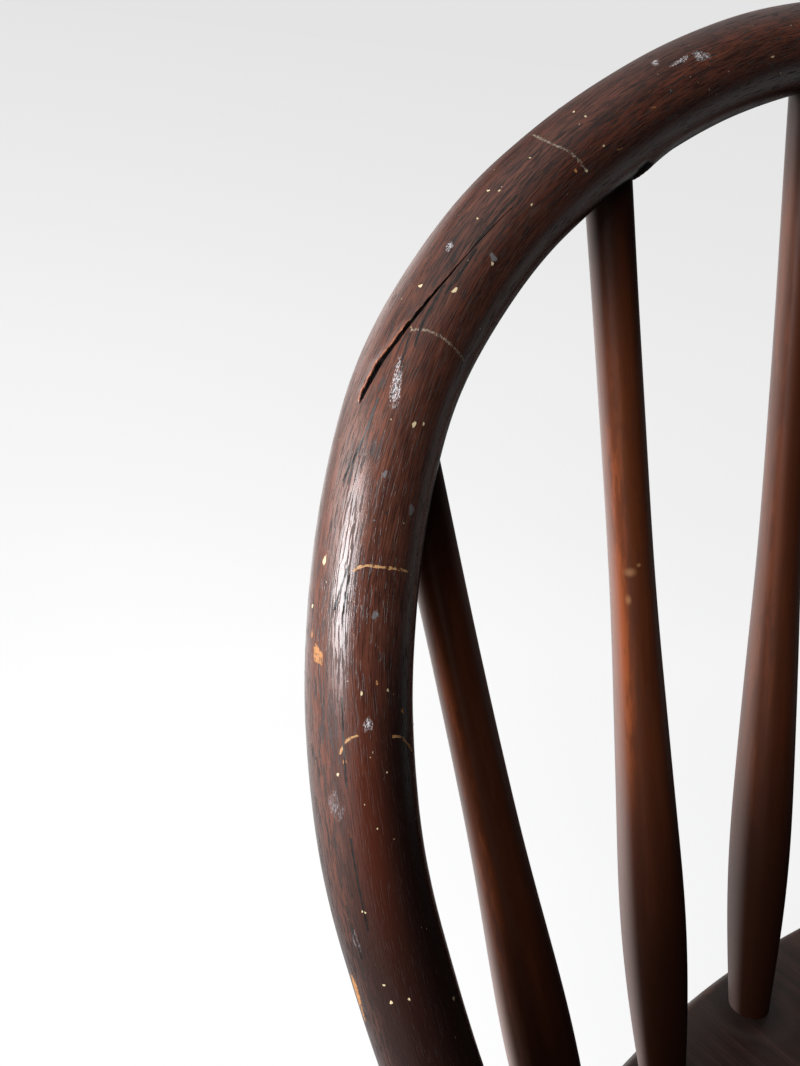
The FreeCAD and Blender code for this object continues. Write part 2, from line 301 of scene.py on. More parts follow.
def woodFinish(name, look, extras=None):
    # stained hardwood under old varnish: streaks and pores along the grain, dirt, wear and bump
    material = bpy.data.materials.new(name)
    startTree(material)
    place = carried("grainPlace", "Vector")

    def noise(part, *settings):
        return stretchedNoise(place, look[part + "Along"], look[part + "Across"], *settings)

    streaks, fibres, pores = noise("streak", 4.0), noise("fibre", 3.0, 0.6, 3.1), noise("pore", 2.0, 0.5, 7.7)
    patches, ripples = noise("patch", 3.0, 0.6, 1.9), noise("ripple", 2.0, 0.5, 5.3)
    grime = noise("grime", 4.0, 0.65, 9.4)
    dust = fleckField(place, look["fleckCount"], look["fleckSize"])
    poreFrom, grimeFrom = look["poreFrom"], look["grimeFrom"]
    poreMask = ease(pores + carried("craze") * 0.11, poreFrom, poreFrom + 0.07)
    grimeMask = ease(grime, grimeFrom, grimeFrom + 0.2)
    wearMask = ease(carried("wear") + (grime - 0.5) * 0.9, 0.45, 0.8)
    rubbed = tint(ease(fibres, 0.3, 0.7), look["rubbed"], look["rubbedDark"])
    colour = coated(tint(ease(streaks, 0.38, 0.64), look["dark"], look["middle"]),
                    (ease(patches, 0.45, 0.72), look["warm"]),
                    (ease(fibres, 0.46, 0.59, 0.0, look["fibreShade"]), look["fibreColour"]),
                    (grimeMask * look["grimeShare"], look["grimeColour"]),
                    (poreMask * look["poreShare"], look["poreColour"]),
                    (wearMask * look["wearShare"], rubbed), (dust * look["fleckShare"], look["fleckColour"]))
    rough = grimeMask * look["grimeRough"] + look["roughness"] + poreMask * 0.4
    rough = calculate("ADD", rough, dust * 0.3, clamp=True)
    relief = fibres * look["fibreRelief"] - poreMask * look["poreRelief"]
    relief = relief + ripples * look["rippleRelief"] + dust * look["fleckRelief"]
    gloss = look["gloss"]
    if extras:
        colour, rough, gloss = extras(place, colour, rough, gloss)
    bump = addNode("Bump", {"Height": relief, "Strength": 1.0, "Distance": mm})
    addNode("OutputMaterial", {0: addNode("BsdfPrincipled", {"Base Color": colour, "Roughness": rough,
                                                             "Normal": bump, "IOR": gloss})})
    return material


# One look for each kind of piece: counts are per metre, reliefs in millimetres
hoopLook = dict(streakAlong=16, streakAcross=520, fibreAlong=150, fibreAcross=3100,
                poreAlong=190, poreAcross=2500, patchAlong=9, patchAcross=120,
                rippleAlong=110, rippleAcross=750, poreFrom=0.598,
                grimeAlong=70, grimeAcross=210, grimeFrom=0.56,
                dark=(0.052, 0.0180, 0.0122), middle=(0.086, 0.028, 0.0175), warm=(0.140, 0.042, 0.023),
                fibreShade=0.82, fibreColour=(0.017, 0.007, 0.0055), grimeColour=(0.014, 0.009, 0.007),
                grimeShare=0.5, grimeRough=0.12, poreColour=(0.004, 0.0025, 0.002), poreShare=0.88,
                rubbed=(0.15, 0.050, 0.027), rubbedDark=(0.055, 0.020, 0.013), wearShare=0.6,
                fleckCount=250, fleckSize=0.00029, fleckShare=0.85, fleckColour=(0.40, 0.34, 0.26),
                fleckRelief=0.05, roughness=0.225, gloss=1.52, fibreRelief=0.045, poreRelief=0.04,
                rippleRelief=0.02)
spindleLook = dict(hoopLook, streakAlong=6, streakAcross=150, fibreAlong=40, fibreAcross=1100,
                   dark=(0.110, 0.032, 0.014), middle=(0.180, 0.052, 0.021), warm=(0.270, 0.076, 0.026),
                   fibreShade=0.2, fibreColour=(0.08, 0.024, 0.010), grimeShare=0.30, poreFrom=0.68,
                   poreShare=0.4, rubbed=(0.30, 0.100, 0.036), rubbedDark=(0.18, 0.055, 0.022),
                   roughness=0.36, gloss=1.23, fibreRelief=0.006, poreRelief=0.012, rippleRelief=0.02,
                   fleckCount=110, fleckShare=0.5)
seatLook = dict(hoopLook, streakAlong=7, streakAcross=150, fibreAlong=30, patchAlong=9, patchAcross=22,
                dark=(0.023, 0.0120, 0.0090), middle=(0.049, 0.0235, 0.0175), warm=(0.066, 0.028, 0.019),
                grimeAlong=30, grimeAcross=45, grimeShare=0.6, poreFrom=0.66, poreShare=0.5, roughness=0.42,
                fibreRelief=0.006, poreRelief=0.02, rippleRelief=0.05, fleckShare=0.2, fleckCount=120)
legLook = dict(hoopLook, middle=(0.042, 0.017, 0.011), warm=(0.070, 0.024, 0.013), fibreRelief=0.02,
               rippleRelief=0.06, roughness=0.32, fleckShare=0.35)
rockerLook = dict(legLook, streakAlong=8, streakAcross=160, patchAcross=40, roughness=0.36,
                  rubbed=(0.15, 0.07, 0.036), rubbedDark=(0.06, 0.026, 0.015))
endLook = dict(hoopLook, streakAlong=500, streakAcross=900, dark=(0.015, 0.008, 0.006),
               middle=(0.06, 0.028, 0.017), warm=(0.085, 0.04, 0.022), roughness=0.45, fibreRelief=0.01,
               rippleRelief=0.02, fleckShare=0.2)

# Hoop

hoop = dict(radius=12.7, rise=354.0, crownRadius=300.0, crownAngle=33.0, shoulderRadius=140.0,
            legRadius=366.0, lean=15.0, tenonRadius=9.5, sunk=3.0, proud=0.2,
            columnsFine=41, columnsPlain=84, fineHalf=2.2,  # the fine ones reach 2.2 mm round the split
            paleDegrees=28.0, crazeHalf=0.47,  # degrees round of the side free of painted shade, and half a band in radians
            darkFrom=-290.0, darkOver=80.0, darkShare=0.62,  # painted shade: the lower left side grows darker
            ruddyAlong=-328.0, ruddyRound=0.95)
lean = math.radians(hoop["lean"])
crownAngle = math.radians(hoop["crownAngle"])
crownCentre = hoop["rise"] - hoop["crownRadius"]
shoulderAcross = (hoop["crownRadius"] - hoop["shoulderRadius"]) * math.sin(crownAngle)
shoulderCentre = crownCentre + (hoop["crownRadius"] - hoop["shoulderRadius"]) * math.cos(crownAngle)
hoopHalfWidth = shoulderAcross + hoop["shoulderRadius"]
hoopLegAcross = hoopHalfWidth - hoop["legRadius"]
footAngle = math.asin(shoulderCentre / hoop["legRadius"])
crownLength = hoop["crownRadius"] * crownAngle
shoulderLength = hoop["shoulderRadius"] * (math.pi / 2 - crownAngle)
hoopHalfLength = crownLength + shoulderLength + hoop["legRadius"] * footAngle
backFront = np.array([0, -math.cos(lean), math.sin(lean)])


def onBack(across, rise):
    return np.stack([across, rise * math.sin(lean), rise * math.cos(lean)], -1)


def hoopLine(along):
    # three tangent arcs on each side, met by length from the crown's middle; past the foot a straight run
    side, reach = np.sign(along), np.abs(along)
    inner = np.minimum(reach, hoopHalfLength)
    angle = np.where(inner <= crownLength, inner / hoop["crownRadius"],
                     np.where(inner <= crownLength + shoulderLength,
                              crownAngle + (inner - crownLength) / hoop["shoulderRadius"],
                              math.pi / 2 + (inner - crownLength - shoulderLength) / hoop["legRadius"]))
    onCrown, onShoulder = inner <= crownLength, inner <= crownLength + shoulderLength
    radius = np.where(onShoulder, hoop["shoulderRadius"], hoop["legRadius"])
    radius = np.where(onCrown, hoop["crownRadius"], radius)
    fromAcross = np.where(onCrown, 0, np.where(onShoulder, shoulderAcross, hoopLegAcross))
    fromRise = np.where(onCrown, crownCentre, shoulderCentre)
    past = reach - inner
    across = fromAcross + radius * np.sin(angle) + past * np.cos(angle)
    rise = fromRise + radius * np.cos(angle) - past * np.sin(angle)
    return onBack(side * across, rise), onBack(side * np.sin(angle), np.cos(angle))


# Split in the left shoulder: (place along, degrees round from the outer side), then half widths, the lip and
# the raw wood by share of its length
split = dict(line=((-188.0, 58.5), (-199.7, 52.5), (-210.2, 46.0), (-218.7, 38.5), (-227.2, 29.0),
                   (-234.0, 20.0), (-242.6, 12.5)),
             widthShares=((0.0, 0.03), (0.30, 0.07), (0.50, 0.12), (0.62, 0.20), (0.75, 0.27), (0.88, 0.44),
                          (0.95, 0.42), (0.985, 0.30), (1.0, 0.0)),
             lipShares=((0.35, 0), (0.6, 1), (0.95, 1), (1.02, 0)),
             rawShares=((0.45, 0), (0.62, 0.12), (0.72, 0.75), (0.96, 1.0), (1.0, 0.7)),
             depthPerWidth=3.4, depthMost=1.6, lipHeight=0.65, lipReach=1.5, lipWidth=0.55, jag=0.13)
# Torn flake on the underside beside the second spindle's top
flake = dict(start=-122.8, end=-138.3, middleDegrees=166.0, halfDegrees=24.0, lift=1.15, gap=0.5)
hoopUneven = ((0.05, 17.0, 2.0, 0.0), (0.03, 6.3, 3.0, 1.0), (0.03, 41.0, 1.0, 2.2))  # mm, mm, turns, phase
# Uneven bend of the left side: place along and how far the line leaves its arcs outwards, in mm
hoopSway = ((-430, 0.0), (-400, -0.4), (-381, -0.5), (-368, 0.15), (-355, 0.6), (-343, 0.65), (-331, 0.4),
            (-319, -0.05), (-308, -0.8), (-297, -1.45), (-285, -1.65), (-274, -1.55), (-263, -1.2),
            (-252, -0.5), (-241, 0.4), (-230, 0.75), (-219, 0.45), (-207, 0.15), (-190, 0.0))


def swayAt(along):
    # the table's sway, evened out over 8 mm to each side
    steps = np.linspace(-8, 8, 9)
    return sum(between(hoopSway, along + step, 0) for step in steps) / len(steps)


def splitAngle(along):
    return np.radians(between(split["line"][::-1], along))


def hoopRelief(along, around):
    # height over the plain round: slow waves, minus the split's groove, plus its lip and the torn flake
    height = sum(size * (np.sin(along / length + turns * np.sin(around) + phase) - 1.3)
                 for size, length, turns, phase in hoopUneven)
    first, last = split["line"][0][0], split["line"][-1][0]
    share = (along - first) / (last - first)
    half = between(split["widthShares"], share, 0)
    half = half * (1 + 0.10 * np.sin(along * 0.9) + 0.07 * np.sin(along * 1.9 + 1))
    jag = split["jag"] * np.sin(along * 3.3) * np.sin(along * 1.37 + 0.5)
    off = wrapped((around - splitAngle(along)) * hoop["radius"], 2 * math.pi * hoop["radius"])
    half = np.where(off < 0, half + jag * (half > 0.1), half)
    inside = np.clip((half - np.abs(off)) / 0.1 + 0.5, 0, 1) * (half > 0.01)
    depth = np.minimum(half * split["depthPerWidth"] + 0.15, split["depthMost"])
    edge = np.clip(np.abs(off) - half, 0, None)
    lip = between(split["lipShares"], share, 0) * bell(edge, split["lipReach"]) * (off < 0)
    lip = lip * (1 + 0.2 * np.sin(along * 0.8))
    turnAway = wrapped(np.degrees(around) - flake["middleDegrees"], 360)
    body = np.exp(-(turnAway / flake["halfDegrees"]) ** 4)
    tornEnd = flake["end"] - 1.5 * np.sin(turnAway / 7)
    rise = np.clip((flake["start"] - along) / (flake["start"] - flake["end"]), 0, 1)
    torn = body * rise ** 1.5 * (along > tornEnd)
    hollow = body * (along <= tornEnd) * (along > flake["end"] - 4)
    height = height - inside * depth + lip * split["lipHeight"] * (1 - inside)
    height = height + torn * flake["lift"] - hollow * flake["gap"]
    rim = between(split["rawShares"], share, 0) * (0.75 + 0.25 * np.sin(along * 2.3)) * (off < 0)
    raw = rim * (1 - inside) * bell(edge, split["lipWidth"])
    # the third value is painted shadow: near black in the split's groove and in the hollow under the torn
    # flake
    return height, np.clip(raw, 0, 1), np.clip(np.maximum(inside, hollow), 0, 1)


def slideToHeight(points, axis, target):
    # moves points along a leg's axis until their height over the seat's plane is the target there
    for _ in range(4):
        gap = target(points) - points[..., 2]
        points = points + gap[..., None] * axis / axis[2]
    return points


def hoopSurface(along, around, lift=0.0):
    # centre + outward sway + (radius + relief + lift) along the turned direction, and the values to carry
    centre, outward = hoopLine(along)
    sway = swayAt(along)
    placed = around + sway / hoop["radius"]
    direction = outward * np.cos(placed)[..., None] + backFront * np.sin(placed)[..., None]
    height, raw, crackShadow = hoopRelief(along, around)
    reach = hoop["radius"] + height
    points = centre + outward * sway[..., None] + direction * (reach + lift)[..., None]
    grain = np.stack([along, reach * np.cos(around), reach * np.sin(around)], -1) * mm
    rub = 0.35 + 0.25 * bell(along + 250, 90)
    # inner is painted shade: darker round the inner side, away from the least shaded side, and more on the
    # lower left side and its front
    inner = np.clip(0.5 - 0.62 * np.cos(around - math.radians(hoop["paleDegrees"])), 0, 1)
    low = np.clip((hoop["darkFrom"] - along) / hoop["darkOver"], 0, 1)
    frontShade = np.clip((around - 0.35) / 0.8, 0, 1) * (around < math.pi)
    inner = np.clip(inner + low * (hoop["darkShare"] + frontShade), 0, 1)
    ruddy = bell(around - hoop["ruddyRound"], 0.45) * bell(along - hoop["ruddyAlong"], 36)
    places, degrees, shares = np.array(hoopCraze).T
    fromMiddle = wrapped(around - np.radians(np.interp(along, places, degrees)), 2 * math.pi)
    craze = np.interp(along, places, shares, left=0, right=0) * bell(fromMiddle, hoop["crazeHalf"])
    values = {"grainPlace": grain, "wear": rub, "raw": raw, "crackShadow": crackShadow, "inner": inner, "craze": craze,
              "ruddy": ruddy}
    return points, direction, values


# Crazed band of old varnish: place along, degrees round and strength
hoopCraze = ((-430, 20, 0.0), (-370, 24, 0.9), (-330, 27, 1.0), (-270, 32, 0.8), (-235, 36, 0.5),
             (-180, 52, 0.7), (-140, 52, 0.3), (-60, 52, 0.0))
# Marks on the hoop: place along in mm, degrees round, half length, half width in mm, and turn in degrees
hoopMarks = dict(
    cream=((-215, 23, 0.45, 0.40), (-213, 58, 0.70, 0.45, 20), (-225, 36, 0.45, 0.40), (-187, 24, 0.35, 0.3),
           (-186, 35, 0.25, 0.25), (-184, 72, 0.30, 0.25), (-195, 36, 0.25, 0.25), (-174, 34, 0.25, 0.25),
           (-244, 76, 0.60, 0.45), (-243, 86, 0.35, 0.30), (-276, 14, 1.25, 0.42, 15), (-286, 0, 0.5, 0.4),
           (-303, 64, 0.40, 0.3), (-303, 92, 0.35, 0.25), (-374, 41, 0.35, 0.3), (-379, 44, 0.45, 0.4),
           (-379, 64, 0.35, 0.30), (-387, 120, 0.6, 0.45), (-354, 36, 0.3, 0.25), (-321, 32, 0.4, 0.35),
           (-154, 24, 0.35, 0.30), (-154, 40, 0.35, 0.30), (-165, 88, 0.45, 0.35), (-85, 92, 0.7, 0.3),
           (-202.2, 77, 0.45, 0.38)),
    orange=((-168, 80, 0.50, 0.40), (-136, 79, 0.90, 0.25, 10), (-152, 94, 1.0, 0.25, 15),
            (-295.7, 14, 2.0, 1.6, 8), (-291.5, 3, 1.2, 0.4, 12), (-380, -6, 6.0, 1.3), (-301, 80, 0.5, 0.3),
            (-309, 112, 0.8, 0.4), (-318, 41, 0.6, 0.45)),
    smudge=((-237.5, 45, 5.0, 1.35, -16), (-204, 28, 1.4, 0.9), (-310, 69, 1.7, 1.0, 10),
            (-111, 56, 2.6, 1.8), (-118, 49, 3.4, 0.8), (-124, 33, 1.6, 1.1)),
    haze=((-328, 23, 3.6, 1.4), (-330, 30, 2.0, 0.8, 20), (-362, 20, 2.6, 1.0)),
    ghost=((-201, 74, 0.80, 1.0), (-286, 76, 0.9, 0.7), (-256, 62, 0.7, 0.5), (-262, 100, 1.2, 0.8)))
# Lines on the hoop: half width in mm and the places that each runs through, as (mm along, degrees round)
hoopLines = dict(
    tan=((0.30, ((-277.1, 50), (-275.9, 58), (-275.6, 72), (-275.6, 90), (-276.0, 110))),
         (0.26, ((-316.2, 37), (-313.9, 43), (-312.7, 49), (-312.2, 57))),
         (0.30, ((-314.0, 95), (-314.7, 104), (-316.7, 114), (-320.2, 127)))),
    faded=((0.36, ((-225.2, 36), (-224.2, 48), (-224.0, 76), (-224.9, 106))),
           (0.48, ((-165.7, 9), (-167.2, 35), (-166.0, 60), (-165.2, 90)))),
    cracks=((0.24, ((-184.7, 54), (-201.2, 50.5))),
            (0.24, ((-202.0, 55), (-205.7, 54.5), (-210.7, 53), (-214.7, 51))),
            (0.26, ((-213.0, 45.5), (-217.2, 45), (-223.2, 45), (-228.2, 47))),
            (0.26, ((-241.2, 32), (-252.7, 28), (-259.2, 19))),
            (0.20, ((-226.0, 37), (-228.7, 39), (-233.2, 42))),
            (0.24, ((-276.2, 44), (-285.7, 34))), (0.20, ((-278.2, 46), (-288.2, 43))),
            (0.24, ((-336.0, 37), (-348.0, 37), (-359.0, 38))), (0.22, ((-353.0, 16), (-367.0, 22))),
            (0.20, ((-304.0, 44), (-324.0, 40))), (0.24, ((-322.0, 8), (-318.0, 5)))))
# Colour of each kind, and its gaps: 0 none, 1 patchy, 2 scratchy
markKinds = dict(cream=((0.58, 0.46, 0.28), 0), tan=((0.42, 0.225, 0.09), 1),
                 orange=((0.38, 0.165, 0.055), 1), smudge=((0.52, 0.51, 0.52), 2),
                 cracks=((0.004, 0.003, 0.002), 0), faded=((0.25, 0.21, 0.16), 2),
                 ghost=((0.11, 0.10, 0.10), 0), haze=((0.17, 0.16, 0.17), 2),
                 dust=((0.30, 0.25, 0.19), 0), soot=((0.008, 0.006, 0.005), 0))
# Pads: rings by share of the mark, their lift over the surface, and how far each next pad lies over the last
markPatch = dict(rings=(0.12, 0.5, 0.8, 1.0, 1.35, 1.35), columns=20, lift=0.02, liftStep=0.0001, sunk=-0.2,
                 lineAcross=(-1.5, -1.0, -0.5, 0.0, 0.5, 1.0, 1.5), lineStep=0.7)
noMark = 9.0  # a mark's field is 0 in its middle and 1 at its edge, and this is well outside any
hoopDust = dict(count=300, seed=7, low=-470.0, high=300.0, leastSize=0.09, mostSize=0.27, columns=8,
                kinds=("dust", "cream", "ghost", "soot", "dust"))


def patchGrid(along, arc, lift, field, kind):
    # a small closed pad on the surface: upper points a hair above it, lower points sunk in it
    points, _, values = hoopSurface(along, arc / hoop["radius"], lift)
    colour, gaps = markKinds[kind]
    values["markField"] = field
    values["markTint"] = np.broadcast_to(np.array(colour), points.shape)
    values["markGaps"] = np.full(field.shape, float(gaps))
    return dict(points=points, values=values, folded=False)


def padLift(shape, level=0):
    # all rings a hair above the surface, higher for each next pad, but for the last one, which is sunk
    lift = np.full(shape, markPatch["lift"] + level * markPatch["liftStep"])
    lift[-1] = markPatch["sunk"]
    return lift


def ellipsePatch(kind, level, seed, columns, along, degrees, halfLength, halfWidth, turn=0):
    # rings of an uneven ellipse, turned and laid on the unrolled surface
    angle = ringAngles(columns)
    rings = np.array(markPatch["rings"])[:, None]
    wave = 1 + 0.16 * np.sin(2 * angle + seed) + 0.12 * np.sin(3 * angle + seed * 2.3)
    x, y = rings * halfLength * np.cos(angle) * wave, rings * halfWidth * np.sin(angle) * wave
    turn = math.radians(turn)
    arc = math.radians(degrees) * hoop["radius"] + x * math.sin(turn) + y * math.cos(turn)
    along = along + x * math.cos(turn) - y * math.sin(turn)
    return patchGrid(along, arc, padLift(x.shape, level), rings + 0 * x, kind)


def linePatch(kind, halfWidth, places, level, seed):
    # ribbon along a smooth line through the places: its ring goes across above the surface and back below
    places = np.array(places) * [1, math.radians(1) * hoop["radius"]]
    runs = np.concatenate([[0], np.cumsum(np.linalg.norm(np.diff(places, axis=0), axis=1))])
    count = max(int(runs[-1] / markPatch["lineStep"]), 5)
    at = np.linspace(0, runs[-1], count)
    line = np.stack([smoothCurve(runs, places[:, 0], at), smoothCurve(runs, places[:, 1], at)], -1)
    ahead = unitVector(np.gradient(line, axis=0))
    wide = halfWidth * (1 + 0.25 * np.sin(at * 1.9 + seed) + 0.2 * np.sin(at * 4.3 + seed * 2))
    line = np.concatenate([line[:1] - ahead[:1] * halfWidth, line, line[-1:] + ahead[-1:] * halfWidth])
    ahead, wide = np.pad(ahead, ((1, 1), (0, 0)), "edge"), np.pad(wide, 1, "edge")
    over = np.zeros(len(line))
    over[[0, -1]] = 1.5
    across = np.array(markPatch["lineAcross"] + markPatch["lineAcross"][::-1][1:-1])
    sideways = np.stack([-ahead[:, 1], ahead[:, 0]], -1)
    spots = line[:, None] + sideways[:, None] * (across * wide[:, None])[..., None]
    lift = np.full(spots.shape[:2], markPatch["lift"] + level * markPatch["liftStep"])
    lift[:, len(markPatch["lineAcross"]):] = markPatch["sunk"]
    return patchGrid(spots[..., 0], spots[..., 1], lift, np.hypot(across, over[:, None]), kind)


def hoopPatches():
    grids = []
    for kind, places in hoopMarks.items():
        for place in places:
            grids.append(ellipsePatch(kind, len(grids), len(grids) * 1.7, markPatch["columns"], *place))
    for kind, lines in hoopLines.items():
        for halfWidth, places in lines:
            grids.append(linePatch(kind, halfWidth, places, len(grids), len(grids) * 1.3))
    chance = np.random.default_rng(hoopDust["seed"])
    for number in range(hoopDust["count"]):
        along = chance.uniform(hoopDust["low"], hoopDust["high"])
        size = hoopDust["leastSize"] + (hoopDust["mostSize"] - hoopDust["leastSize"]) * chance.random() ** 3
        degrees, longer, turn = chance.uniform(-60, 200), chance.uniform(1, 1.8), chance.uniform(-30, 30)
        kind = hoopDust["kinds"][number % len(hoopDust["kinds"])]
        grids.append(ellipsePatch(kind, len(grids), number * 0.9, hoopDust["columns"],
                                  along, degrees, size * longer, size, turn))
    return grids


def footAxis(outward):
    # where the hoop's line points at a foot, downwards
    axis = unitVector(np.cross(outward, backFront))
    return axis if axis[2] < 0 else -axis


def makeHoop():
    # ring of radius r round each point of the line: centre + r (outward cos a + front sin a)
    reach = hoopHalfLength
    along = spread(((-reach, -400, 3.0), (-400, -250, 1.5), (-250, -184, 0.45), (-184, -150, 1.3),
                    (-150, -118, 0.9), (-118, -40, 1.6), (-40, reach, 3.3)))
    fine = hoop["fineHalf"] / hoop["radius"]
    columns = np.concatenate([np.linspace(-fine, fine, hoop["columnsFine"]),
                              np.linspace(fine, 2 * math.pi - fine, hoop["columnsPlain"] + 2)[1:-1]])
    lines, turns = np.meshgrid(along, columns, indexing="ij")
    body, direction, values = hoopSurface(lines, turns + splitAngle(lines))
    tails = []
    for end in (0, -1):
        # the tenon: from the step down to the seat's underside, where its end face is cut flush
        foot, outward = hoopLine(along[end])
        axis, ring, thin = footAxis(outward), direction[end], hoop["tenonRadius"]
        drops = hoop["sunk"] + np.array([0, 0, 6, 14])
        radii = np.array([hoop["radius"], thin, thin, thin])
        tail = foot + ring * radii[:, None, None] + axis * drops[:, None, None]
        under = foot + ring * (thin * np.array([1.0, 0.97, 0.6, 0.25]))[:, None, None]
        deep = np.array([0.6, 0.0, 0.0, 0.0])[:, None] - seat["thickness"] - hoop["proud"]
        tails.append(np.concatenate([tail, slideToHeight(under, axis, lambda points: deep)]))
    before, after = tails[0][::-1], tails[1]

    def padded(value):
        first, last = np.repeat(value[:1], len(before), 0), np.repeat(value[-1:], len(after), 0)
        return np.concatenate([first, value, last])

    values = {key: padded(value) for key, value in values.items()}
    extra = np.arange(len(before)) * 6.0 + 1
    values["grainPlace"][:len(before), :, 0] -= extra[::-1, None] * mm
    values["grainPlace"][-len(after):, :, 0] += extra[:, None] * mm
    values.update(markField=np.float64(noMark), markTint=np.zeros((1, 1, 3)), markGaps=np.float64(0.0))
    base = dict(points=np.concatenate([before, body, after]), values=values, folded=False)
    return buildPiece("bent_hoop", [base] + hoopPatches(), 60.0)


def hoopExtras(place, colour, rough, gloss):
    # painted shade on the inner side, marks on their pads, raw wood at the split and painted shadow inside
    # the split and under the flake
    inner, crackShadow = ease(carried("inner"), 0.0, 1.0), carried("crackShadow")
    field, gaps = carried("markField"), carried("markGaps")
    shaky = (addNode("TexNoise", {"Vector": place, "Scale": 1700.0, "Detail": 2.0}) - 0.5) * 1.1
    patchy = ease(stretchedNoise(place, 700, 900, 3.0, 0.7, 2.2), 0.34, 0.50)
    sparks = stretchedNoise(place, 1300, 4200, 4.0, 0.8, 6.2) - field * 0.07
    kept = ease(gaps, 1.0, 2.0, ease(gaps, 0.0, 1.0, 1.0, patchy), ease(sparks, 0.46, 0.53))
    mask = ease(field + shaky, 1.15, 0.80) * kept
    # the first coat is painted shade on the inner and lower left sides, which also lowers the gloss there;
    # the last is painted shadow in the split and under the flake
    colour = coated(colour, (inner * 0.93, (0.012, 0.005, 0.004)),
                    (carried("ruddy") * 0.28, (0.150, 0.030, 0.012)),
                    (mask, carried("markTint", "Color")), (carried("raw"), (0.46, 0.17, 0.095)),
                    (ease(crackShadow, 0.02, 0.25), (0.003, 0.002, 0.002)))
    rough = calculate("ADD", calculate("ADD", rough, mask * 0.25, clamp=True), crackShadow * 0.6, clamp=True)
    return colour, rough, ease(inner, 0.0, 1.0, gloss, 1.30)


hoopWood = woodFinish("hoop_varnish", hoopLook, hoopExtras)
finishPiece(makeHoop(), hoopWood, "hoop_wood", "hoop")

# Turned pieces


def axisFrame(axis):
    # two directions square to an axis
    helper = np.array([1.0, 0, 0]) if abs(axis[0]) < 0.8 else np.array([0, 1.0, 0])
    side = unitVector(np.cross(axis, helper))
    return side, np.cross(axis, side)


def turnedSurface(start, end, rows, turns, radii, seed, uneven=0.0):
    # start + axis times length + radius times (side cos turn + other sin turn), each radius a little uneven
    axis = unitVector(end - start)
    side, other = axisFrame(axis)
    wave = 1 + uneven * (np.sin(rows / 13 + seed) + 0.6 * np.sin(2 * turns + rows / 37 + seed * 2))
    wide = radii * wave
    direction = side * np.cos(turns)[..., None] + other * np.sin(turns)[..., None]
    points = start + axis * rows[..., None] + direction * wide[..., None]
    shift = 700.0 * seed
    grain = np.stack([rows + shift, wide * np.cos(turns) + shift, wide * np.sin(turns)], -1) * mm
    return points, grain, direction


def turnedGrid(start, end, along, radii, columns, seed, uneven=0.0):
    # closed circles of the given radii along the line from start to end
    angle = ringAngles(columns)
    rows, turns = np.meshgrid(along, angle, indexing="ij")
    points, grain, _ = turnedSurface(start, end, rows, turns, radii[:, None], seed, uneven)
    return points, grain, unitVector(end - start)


def turnedRadius(outline, length, swell, at):
    # the outline's smooth radius at a length: a table of shares of the length and of the swell
    places, shares = np.array(outline).T
    return smoothCurve(places * length, shares * swell, at)


def turnedRows(length, outline, swell, startTenon, endTenon, count):
    # lengths and radii: a tenon (length, radius) at each end and between them a smooth turned outline
    body = np.linspace(0, length, count)
    wide = turnedRadius(outline, length, swell, body)
    before, thin = startTenon
    after, thick = endTenon
    along = np.concatenate([[-before, -before, 0.0], body, [length, length + after, length + after]])
    radii = np.concatenate([[thin * 0.9, thin, thin], wide, [thick, thick, thick * 0.9]])
    return along, radii


# Spindles, numbered from the left: each one's painted shade, painted pale light on its lit side and painted
# warm glow on its lit side.
# A dab of paint is (mm along, degrees round, half length, half width in mm)
spindle = dict(rowHalfWidth=150.0, footShares=(0.24, 0.62, 1.0), rowReach=41.0, rowRadius=555.0,
               topShares=(0.203, 0.603, 0.916), swell=10.55,
               outline=((0, 0.67), (0.12, 0.93), (0.25, 1.0), (0.38, 0.885), (0.55, 0.69), (0.8, 0.6),
                        (1, 0.6)),
               footTenon=(18.0, 5.5), topTenon=(3.0, 4.75), sunk=6.0, columns=48, rows=150, unevenness=0.006,
               tones=(0.0, 0.0, 0.44, 0.15, 0.30, 0.10),
               pales=(1.0, 0.50, 0.18, 0.15, 0.15, 0.15), glows=(0.8, 0.50, 0.15, 0.3, 0.3, 0.3),
               awayFromLight=(0.743, -0.669, 0.0),
               dabs={2: ((204.0, 129.0, 1.7, 2.2), (195.4, 121.0, 1.9, 1.1), (206.0, 152.0, 0.8, 0.8))})


